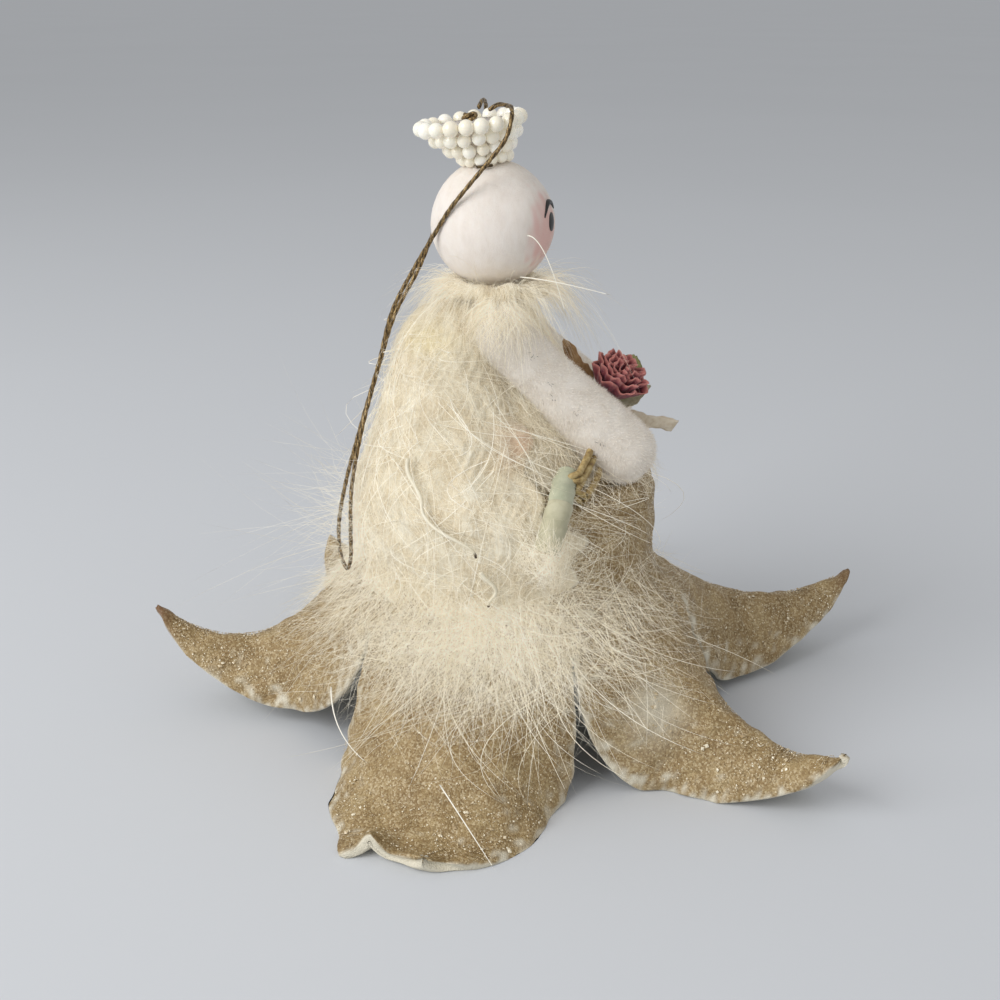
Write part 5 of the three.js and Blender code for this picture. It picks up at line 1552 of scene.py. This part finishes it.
@dataclass
class Down:
    """The marabou: a cape over the back and sides, sprays over the skirt, a ruff, quills and loose hairs."""

    arms: Sequence[Arm]
    cape_top: float = 91.6 * MM
    cape_hem: float = 33 * MM
    neck_radius: float = 17.5 * MM
    hem_thickness: float = 1.6 * MM
    top_edge: float = np.radians(58)
    hem_edge: float = np.radians(113)
    top_round: float = 0.14
    ruff_height: float = 93.9 * MM
    hair: float = 0.055 * MM
    long_hair: float = 0.14 * MM
    steps: int = 7
    long_steps: int = 13
    cape_spans: Pair = mm(18, 68)
    chest_top: float = 93 * MM
    chest_foot: float = 52.5 * MM
    chest_reach: float = 1.9
    chest_lift: float = 0.6 * MM
    ruff_section: Pair = mm(2.1, 1.7)
    ruff_set_out: float = 2.3 * MM
    quill_ends: tuple[tuple[str, Pair, Pair], ...] = (
        ("upper", (0.47, 0.45), (0.75, 0.66)), ("lower", (0.8, 0.71), (0.93, 0.76)))
    quill_radius: float = 0.5 * MM
    quill_lift: float = 1.9 * MM
    chest_count: int = 1800
    ruff_count: int = 2400
    wisp_count: int = 420
    wrap_count: int = 420
    shoulder_count: int = 720
    cape_count: int = 2400
    long_count: int = 170
    spray_count: int = 4600
    fan_count: int = 160
    spray_length: float = 11 * MM
    tuft_length: float = 9 * MM
    fan_length: float = 24 * MM
    drape_knots: tuple[Pair, ...] = ((31, 47), (31, 38), (38, 27.5), (50, 17.5), (64, 9))
    stray_hair: float = 0.28 * MM
    wrap_heading: float = np.radians(186)
    wrap_foot: float = 47.5 * MM
    wrap_over: float = 6.6 * MM
    stray_points: tuple[tuple[Triple, ...], ...] = (
        ((-14.0, 2.0, 97.4), (-16.0, -5.6, 96.5), (-17.0, -16.4, 93.9)),
        ((-17.6, 1.0, 106.1), (-18.5, -2.6, 102.3), (-20.0, -6.7, 90.1)),
        ((-46.0, 41.3, 25.1), (-50.0, 39.8, 17.9), (-54.0, 34.6, 12.6)),
        ((-66.0, 21.5, 14.7), (-70.0, 16.7, 7.9), (-73.0, 12.0, 0.6)))
    peach_spot: Pair = (0.43, 0.93)
    yellow_spot: Pair = (0.1, 0.35)

    def __post_init__(self) -> None:
        """Works out the line that the drape turns about the axis, and the shares run along a hair."""
        self.run = np.linspace(0, 1, self.steps)[None]
        knots = np.array(self.drape_knots) * MM
        self.drape_line = route(np.stack([knots[:, 0], 0 * knots[:, 0], knots[:, 1]], -1), 300)
        self.drape_length = np.linalg.norm(np.diff(self.drape_line, axis=0), axis=1).sum()

    def cape(self, u: Array, v: Array) -> Array:
        """The cape's outside: u from its top to its hem, v from the back's middle to its edges at -1 and 1.

        Its radius is a cone down to the bell's shoulder and then the bell's own with a thin layer on it. It
        thins towards its edges with the fourth power of v and to a quarter circle at its top.
        """
        z = lerp(self.cape_top, self.cape_hem, u)
        body = FIGURE.under_cape(z)
        thin = self.hem_thickness * (1 - 0.85 * smoothstep(u, 0.8, 1.02))
        foot = FIGURE.bell_radius + FIGURE.gap + self.hem_thickness
        share = (z - FIGURE.wall_top) / (self.cape_top - FIGURE.wall_top)
        cone = lerp(foot, self.neck_radius, share)
        thinnest = body + FIGURE.gap + thin
        full = np.where(z > FIGURE.wall_top, np.maximum(cone, thinnest), thinnest)
        shoulder = np.sqrt(1 - (1 - np.clip(u / self.top_round, 0, 1)) ** 2)
        radius = lerp(thinnest, full, shoulder * np.clip(1 - v ** 4, 0, 1))
        return FIGURE.round_point(radius, np.pi / 2 + v * self.edge_at(u), z)

    def edge_at(self, u: Array) -> Array:
        """The turn from the back's middle to the cape's ragged edges: it grows as the square root of u."""
        ragged = 1 + 0.05 * np.sin(19 * u) + 0.035 * np.sin(43 * u + 2)
        return ragged * lerp(self.top_edge, self.hem_edge, np.sqrt(np.clip(u, 0, None)))

    def drape(self, u: Array, turn: Array) -> Array:
        """The skirt's outside as one sheet: down the bell's wall, over the hem and out above the petals."""
        share = np.linspace(0, 1, len(self.drape_line))
        radius, z = (np.interp(u, share, self.drape_line[:, axis]) for axis in (0, 2))
        return FIGURE.round_point(radius, turn, z)

    def cape_base(self) -> Shell:
        """The soft mass under the hairs, from the body out to an uneven cape, with two faint stains."""
        u, v = np.meshgrid(np.linspace(0, 1, 110), np.linspace(-1, 1, 180), indexing="ij")
        out = normal_of(self.cape, u, v)
        points = self.cape(u, v)
        uneven = 0.35 * lumps(points, 8 * MM, 61) + 0.2 * lumps(points, 2.5 * MM, 62)
        outer = points + out * MM * (uneven - 0.3)[..., None]
        z = points[..., 2]
        body = np.where(z > FIGURE.bell_top, FIGURE.torso_at(z), FIGURE.bell_at(z)) - FIGURE.gap
        shell = slab(outer, FIGURE.round_point(body, np.pi / 2 + v * self.edge_at(u), z))
        spots = [bell_curve(u - at[0], 0.05) * bell_curve(v - at[1], wide) for at, wide in
                 ((self.peach_spot, 0.1), (self.yellow_spot, 0.3))]
        for mark, spot in zip((Mark.BLUSH, Mark.STAIN), spots):
            rings = np.concatenate([spot, spot[:, ::-1]], axis=1)
            shell.with_mark(mark, 0.7 * np.concatenate([rings.ravel(), [0, 0]]))
        return shell

    def lay(self, surface: Surface, draw: Draw, start: tuple[Array, Array],
            reach: tuple[Array, Array], rise: Array, curl: float, facing: int = 1) -> Array:
        """Paths of hairs that lie on a surface.

        Each path runs from its start by its reach in the surface's own parameters, bows sideways with a sine,
        and lifts off the surface as a power of the share run.

        Args:
            surface: What the hairs lie on.
            draw: The random draws.
            start: The roots' u and v.
            reach: How far the hairs run in u and v.
            rise: How far each tip stands off.
            curl: The bow's size as a share of the run.
            facing: 1 where the surface's normals point outwards, -1 where they point inwards.

        Returns:
            Points by hair and along the hair.
        """
        count = len(rise)
        t = self.run
        (u0, v0), (du, dv) = (tuple(a[:, None] for a in pair) for pair in (start, reach))
        bow = curl * draw.normal(size=(count, 1)) * np.sin(np.pi * t * draw.uniform(0.6, 1.5, (count, 1)))
        u = u0 + du * t
        v = v0 + dv * (t + bow)
        normal = facing * normal_of(surface, u, v)
        height = 0.2 * MM + rise[:, None] * t ** 1.6
        return surface(u, v) + normal * height[..., None]

    def hairs(self, paths: Array, width: float, draw: Draw, pale: float = 0.0) -> Shell:
        """Hairs of shades from pale to 1, as parabolas through each path's root, middle and tip."""
        count, half = len(paths), self.steps // 2
        steps = self.steps if width < self.long_hair else self.long_steps
        paths = parabolas(paths[:, :1], paths[:, half:half + 1], paths[:, -1:], steps)
        return strands(paths, width / 2 * draw.uniform(0.55, 1.2, count), draw.uniform(pale, 1, count))

    def half_cape(self, hand: int, u: Array, v: Array) -> Array:
        """The cape's outside, with v growing from the back's middle towards one hand."""
        return self.cape(u, hand * v)

    def cape_hairs(self, hand: int, count: int, seed: int) -> Shell:
        """Hairs of one half of the cape, mostly downwards and close to it, with a few that stand off."""
        draw = np.random.default_rng(seed)
        u0 = draw.uniform(0, 0.97, count)
        v0 = draw.uniform(-0.04, lerp(1.35, 1.12, u0))
        way = draw.normal(scale=1.3, size=count)
        length = draw.uniform(5, 15, count) * MM
        du = np.minimum(length * np.cos(way) / (self.cape_top - self.cape_hem), 1.05 - u0)
        dv = length * np.sin(way) / lerp(*self.cape_spans, u0)
        wild = draw.uniform(size=count) < 0.1
        rise = np.where(wild, draw.uniform(2, 6, count), draw.gamma(1.8, 0.55, count)) * MM
        paths = self.lay(partial(self.half_cape, hand), draw, (u0, v0), (du, dv), rise, 0.5, hand)
        return self.hairs(paths, self.hair, draw)

    def long_hairs(self, hand: int, count: int, seed: int) -> Shell:
        """Long bright hairs that cross one half of the cape in wide curves."""
        draw = np.random.default_rng(seed)
        u0, v0 = draw.uniform(0.1, 0.9, count), draw.uniform(0, 0.95, count)
        way = draw.normal(scale=1.1, size=count)
        length = draw.gamma(9, 2.6, count) * MM
        du = np.clip(length * np.cos(way) / (self.cape_top - self.cape_hem), -0.5, 1.04 - u0)
        dv = length * np.sin(way) / lerp(*self.cape_spans, u0)
        rise = draw.gamma(1.5, 1.7, count) * MM
        paths = self.lay(partial(self.half_cape, hand), draw, (u0, v0), (du, dv), rise, 0.6, hand)
        return self.hairs(paths, self.long_hair, draw, 0.7)

    def spray(self, heading: float, count: int, seed: int, mean_length: float, width: float) -> Shell:
        """A fan of hairs that springs from the skirt's hem at a heading and lies out over the petals."""
        draw = np.random.default_rng(seed)
        u0 = np.clip(draw.normal(0.3, 0.13, count), 0.02, 0.7)
        turn = np.radians(heading) + draw.normal(scale=0.3, size=count)
        aside = turn - np.radians(heading)
        way = draw.normal(scale=0.85, size=count) + 0.9 * aside
        length = draw.gamma(5, mean_length / 5, count)
        du = np.minimum(length * np.cos(way) / self.drape_length, 0.98 - u0)
        dv = length * np.sin(way) / (46 * MM)
        rise = draw.gamma(1.6, 1.3, count) * MM
        paths = self.lay(self.drape, draw, (u0, turn), (du, dv), rise, 0.25)
        bulk = 2.2 * MM * bell_curve(u0 - 0.33, 0.1) * bell_curve(aside, 0.25) * draw.uniform(size=count)
        paths[..., 2] += bulk[:, None]
        return self.hairs(paths, width, draw, 0.35)

    def wisps(self, count: int, seed: int) -> Shell:
        """Loose hairs that stand out behind the figure's back, low down."""
        draw = np.random.default_rng(seed)
        turn = np.pi / 2 + draw.normal(0.1, 0.35, count)
        z = draw.normal(44, 6, count) * MM
        roots = FIGURE.round_point(FIGURE.bell_at(z) + 1 * MM, turn, z)
        out = turned(1, turn, 0)
        way = unit(out + draw.normal(scale=0.4, size=out.shape))
        bend = draw.normal(scale=0.5, size=out.shape)
        length = draw.gamma(5, 2.4, count)[:, None, None] * MM
        t = self.run[..., None]
        paths = roots[:, None] + length * (way[:, None] * t + bend[:, None] * t ** 2)
        return self.hairs(paths, self.hair, draw, 0.5)

    def chest(self, u: Array, v: Array) -> Array:
        """The front of the torso: u from its top to its foot, v across from -1 to 1."""
        z = lerp(self.chest_top, self.chest_foot, u)
        turn = 1.5 * np.pi + self.chest_reach * v
        return FIGURE.round_point(FIGURE.under_cape(z) + self.chest_lift, turn, z)

    def chest_hairs(self, count: int, seed: int) -> Shell:
        """Hairs over the front of the torso, between the edges of the cape."""
        draw = np.random.default_rng(seed)
        u0, v0 = draw.uniform(0, 0.95, count), draw.uniform(-1, 1, count)
        way = draw.normal(scale=0.6, size=count)
        length = draw.uniform(5, 13, count) * MM
        du = np.minimum(length * np.cos(way) / (self.chest_top - self.chest_foot), 1 - u0)
        dv = length * np.sin(way) / (30 * MM)
        rise = draw.gamma(1.6, 0.7, count) * MM
        return self.hairs(self.lay(self.chest, draw, (u0, v0), (du, dv), rise, 0.25), self.hair, draw)

    def ruff(self) -> Shell:
        """The ruff's soft core: an uneven ring round the neck."""
        section = full_turn(24)
        wide, high = self.ruff_section
        middle = FIGURE.torso_at(np.array(self.ruff_height)) + FIGURE.gap + self.ruff_set_out
        radius, z = middle + wide * np.cos(section), self.ruff_height + high * np.sin(section)
        points = FIGURE.round_point(radius, full_turn(120)[:, None], z)
        outwards = unit(points - points.mean(axis=1, keepdims=True))
        shell = hoop(points + outwards * (0.3 * MM * lumps(points, 5 * MM, 67))[..., None])
        return shell.with_mark(Mark.BLUSH, 0.0).with_mark(Mark.STAIN, 0.0)

    def ruff_hairs(self, count: int, seed: int) -> Shell:
        """Hairs that spring from the ruff, outwards and down over the shoulders."""
        draw = np.random.default_rng(seed)
        turn = draw.uniform(0, 2 * np.pi, count)
        z = self.ruff_height + draw.normal(scale=0.9 * MM, size=count)
        roots = FIGURE.round_point(7 * MM + draw.uniform(0, 3, count) * MM, turn, z)
        out = turned(1, turn, 0)
        out = unit(out + (0, 0, 0.55) + draw.normal(scale=0.35, size=out.shape))
        length = draw.gamma(5, 1.9, count)[:, None] * MM
        t = self.run[..., None]
        fall = np.array([0, 0, -1.0]) * draw.uniform(0.4, 1.6, (count, 1))
        paths = roots[:, None] + length[:, None] * (out[:, None] * t + fall[:, None] * t ** 2)
        return self.hairs(paths, self.hair, draw)

    def shoulder_hairs(self, arm: Arm, count: int, seed: int) -> Shell:
        """Hairs that fall from the neck over the round end of an arm: curves on a ball about the shoulder."""
        draw = np.random.default_rng(seed)
        rise = np.radians(draw.uniform(35, 80, count))
        turn = draw.uniform(-2.6, 0.9, count)
        t = self.run
        sweep = draw.gamma(4, 0.3, count)[:, None]
        tilt = rise[:, None] - sweep * t
        swing = turn[:, None] + draw.normal(scale=1.0, size=(count, 1)) * t
        outer, back = np.array([arm.hand, 0, 0]), np.array([0, 1.0, 0])
        level = np.cos(swing)[..., None] * outer - np.sin(swing)[..., None] * back
        way = np.cos(tilt)[..., None] * level + np.sin(tilt)[..., None] * np.array([0, 0, 1.0])
        reach = arm.shoulder_radius + draw.uniform(0.3, 2.8, (count, 1)) * MM + 1.2 * MM * t ** 2
        return self.hairs(arm.spine(np.array(0.0)) + reach[..., None] * way, self.hair, draw)

    def wrap_hairs(self, count: int, seed: int) -> Shell:
        """Hairs across the foot of the bouquet's wrap: curves on the bell's wall, lifted over the wrap."""
        draw = np.random.default_rng(seed)
        turn = draw.normal(self.wrap_heading, 0.11, count)
        z = draw.normal(self.wrap_foot, 2.6 * MM, count)
        t = self.run
        way = draw.normal(scale=0.8, size=(count, 1))
        length = draw.gamma(5, 1.7, (count, 1)) * MM
        heights = z[:, None] - length * np.cos(way) * (t - 0.5)
        turns = turn[:, None] + length * np.sin(way) * (t - 0.5) / FIGURE.bell_radius
        over = self.wrap_over * bell_curve(turns - self.wrap_heading, 0.12)
        over = over + draw.uniform(0.4, 1.6, (count, 1)) * MM + 1.2 * MM * t ** 2
        paths = FIGURE.round_point(FIGURE.bell_at(heights) + over, turns, heights)
        return self.hairs(paths, self.hair, draw, 0.3)

    def strays(self) -> Shell:
        """Single thick hairs that stand out by themselves, each an arc through three points."""
        paths = parabolas(*(np.array(self.stray_points)[:, i, None] * MM for i in range(3)), 17)
        return strands(paths, np.full(len(paths), self.stray_hair / 2), np.ones(len(paths)))

    def quill(self, hand: int, start: Pair, end: Pair) -> Shell:
        """A quill on the cape, straight between two of its places, thinning and dark at its lower end."""
        share = np.linspace(0, 1, 30)
        u, v = lerp(start[0], end[0], share), hand * lerp(start[1], end[1], share)
        path = self.cape(u, v)
        out = unit((path - SKIRT_AXIS) * (1, 1, 0))
        radius = self.quill_radius * (1 - 0.45 * share)
        shell = tube(path + out * self.quill_lift, radius, 10, (0.3, 0.2, 1.1))
        dark = smoothstep(share, 0.93, 0.97)
        return shell.with_mark(Mark.STAIN, np.concatenate([np.repeat(dark, 10), [0, 1]]))

    def build(self) -> None:
        """Places the cape, the sprays, the ruff and the quills."""
        slot = "marabou"
        capes = ["feather_right_upper", "feather_left_upper"]
        place("cape_down_base", self.cape_base(), DOWN_BASE, slot, capes)
        place("chest_hairs", self.chest_hairs(self.chest_count, 85), DOWN, slot)
        place("neck_ruff_base", self.ruff(), DOWN_BASE, slot, ["neck_ruff"])
        place("neck_ruff_hairs", self.ruff_hairs(self.ruff_count, 86), DOWN, slot)
        place("back_wisps", self.wisps(self.wisp_count, 87), DOWN, slot)
        place("stray_hairs", self.strays(), DOWN, slot)
        place("wrap_hairs", self.wrap_hairs(self.wrap_count, 84), DOWN, slot)
        for arm in self.arms:
            hairs = self.shoulder_hairs(arm, self.shoulder_count, 88 + arm.hand)
            place(f"{arm.label}_shoulder_hairs", hairs, DOWN, slot)
        for hand, label, heading in ((1, "right", 165), (-1, "left", 15)):
            self.build_side(hand, label, heading)

    def build_side(self, hand: int, label: str, heading: float) -> None:
        """Places one side's hairs, sprays and quills: hand is 1 on the right, and heading is its spray's."""
        slot, seed = "marabou", 90 + 5 * hand
        place(f"cape_hairs_{label}", self.cape_hairs(hand, self.cape_count, seed), DOWN, slot)
        place(f"long_hairs_{label}", self.long_hairs(hand, self.long_count, seed + 1), DOWN, slot)
        spray = self.spray(heading, self.spray_count, seed + 2, self.spray_length, self.hair)
        place(f"skirt_spray_{label}", spray, DOWN, slot, [f"feather_{label}_lower"])
        for end, aside, count in (("back", -46, 1300), ("front", 48, 700)):
            tuft = self.spray(heading + aside * hand, count, seed + 50 + aside, self.tuft_length, self.hair)
            place(f"skirt_tuft_{label}_{end}", tuft, DOWN, slot)
        fan = self.spray(heading + 12 * hand, self.fan_count, seed + 3, self.fan_length, self.long_hair)
        place(f"skirt_long_hairs_{label}", fan, DOWN, slot)
        for level, start, end in self.quill_ends:
            node = f"quill_{label}_{level}"
            place(f"{node}_shaft", self.quill(hand, start, end), QUILL, "quill_horn", [node])


@dataclass(frozen=True)
class Lamp:
    """A soft square lamp: its name, place, size and power."""

    name: str
    spot: Triple
    size: float
    power: float


@dataclass
class Studio:
    """The floor, the light and the camera, which stands where the photograph was taken."""

    distance: float = 282 * MM
    beside: float = 1.46 * MM
    height: float = 150.9 * MM
    azimuth: float = np.radians(265)
    pitch: float = np.radians(20.2)
    lens: float = 50.0
    floor_colour: Colour = (0.62, 0.64, 0.67)
    world_light: float = 0.56
    sensor: float = 36.0
    clip: Pair = (0.01, 20.0)
    lamps: tuple[Lamp, ...] = (
        Lamp("key_light", (-0.42, 0.75, 0.55), 0.7, 7.2), Lamp("fill_light", (-0.7, -0.5, 0.4), 0.8, 0.4))
    aim_height: float = 0.06
    floor_half: float = 60.0
    floor_drop: float = 0.05 * MM

    def stand(self, data: bpy.types.ID, spot: Array, look: Array) -> bpy.types.Object:
        """Sets a camera or a lamp at a spot, turned to look one way, and gives it back."""
        thing = bpy.data.objects.new(data.name, data)
        thing.location = spot
        thing.rotation_mode = "QUATERNION"
        thing.rotation_quaternion = Vector(look).to_track_quat("-Z", "Y")
        bpy.context.scene.collection.objects.link(thing)
        return thing

    def camera(self) -> None:
        """Sets the camera: back from the head's axis along the azimuth, up, and pitched down."""
        back = np.array([np.sin(self.azimuth), -np.cos(self.azimuth), 0])
        right = np.array([np.cos(self.azimuth), np.sin(self.azimuth), 0])
        axis = middle_of("head_ball") * (1, 1, 0)
        place_at = axis + back * self.distance + right * self.beside + (0, 0, self.height)
        look = -back * np.cos(self.pitch) - np.array([0, 0, np.sin(self.pitch)])
        data = bpy.data.cameras.new("photo_camera")
        data.lens = self.lens
        data.sensor_width = self.sensor
        data.clip_start, data.clip_end = self.clip
        bpy.context.scene.camera = self.stand(data, place_at, look)

    def light(self, lamp: Lamp) -> None:
        """Adds a lamp, turned to the figure's middle."""
        data = bpy.data.lights.new(lamp.name, "AREA")
        data.size = lamp.size
        data.energy = lamp.power
        self.stand(data, lamp.spot, Vector((0, 0, self.aim_height)) - Vector(lamp.spot))

    def floor(self) -> None:
        """Lays a wide plain floor at the shelf's level."""
        half, low = self.floor_half, -self.floor_drop
        corners = [(-half, -half, low), (half, -half, low), (half, half, low), (-half, half, low)]
        mesh = bpy.data.meshes.new("floor")
        mesh.from_pydata(corners, [], [[0, 1, 2, 3]])
        shades = (self.floor_colour, tuple(c * 1.02 for c in self.floor_colour))
        paint = Finish("floor_paint", shades, patch=0.5, grain=0.01, relief=0.0, roughness=1.0, gloss=0.0)
        mesh.materials.append(paint.material())
        floor = bpy.data.objects.new("floor", mesh)
        bpy.context.scene.collection.objects.link(floor)

    def sky(self) -> bpy.types.World:
        """An even white light all round, which the camera sees in the far floor's colour."""
        world = bpy.data.worlds.new("studio")
        world.use_nodes = True
        tree = world.node_tree
        light = tree.nodes["Background"]
        light.inputs["Strength"].default_value = self.world_light
        rays = tree.nodes.new("ShaderNodeLightPath")
        seen = tree.nodes.new("ShaderNodeMix")
        seen.data_type = "RGBA"
        colours = [socket for socket in seen.inputs if socket.type == "RGBA"]
        colours[0].default_value = (1, 1, 1, 1)
        colours[1].default_value = (*self.floor_colour, 1)
        tree.links.new(rays.outputs["Is Camera Ray"], seen.inputs[0])
        result = next(socket for socket in seen.outputs if socket.type == "RGBA")
        tree.links.new(result, light.inputs["Color"])
        return world

    def build(self) -> None:
        """Sets the camera, the lamps, the world and the floor."""
        self.camera()
        self.floor()
        for lamp in self.lamps:
            self.light(lamp)
        scene = bpy.context.scene
        scene.world = self.sky()
        scene.view_settings.view_transform = "Standard"


def main() -> None:
    """Builds the studio and every sub-assembly of the figure in order."""
    logging.basicConfig(level=logging.INFO, format="%(name)s %(message)s")
    Studio().build()
    knot = Crown().build()
    HangingLoop().build(knot)
    Skirt().build()
    Head().build()
    right_arm = Arm("right", -1, Body.RIGHT_ARM, speckled=True)
    right_arm.build()
    left_arm = Arm("left", 1, Body.LEFT_ARM, speckled=False)
    left_arm.build()
    Bouquet(right_arm).build()
    Down((right_arm, left_arm)).build()
    dress("neck_dowel", WOOD)
    for wire in ("right_arm_wire", "left_arm_wire"):
        dress(wire, WIRE)


if __name__ == "__main__":
    main()
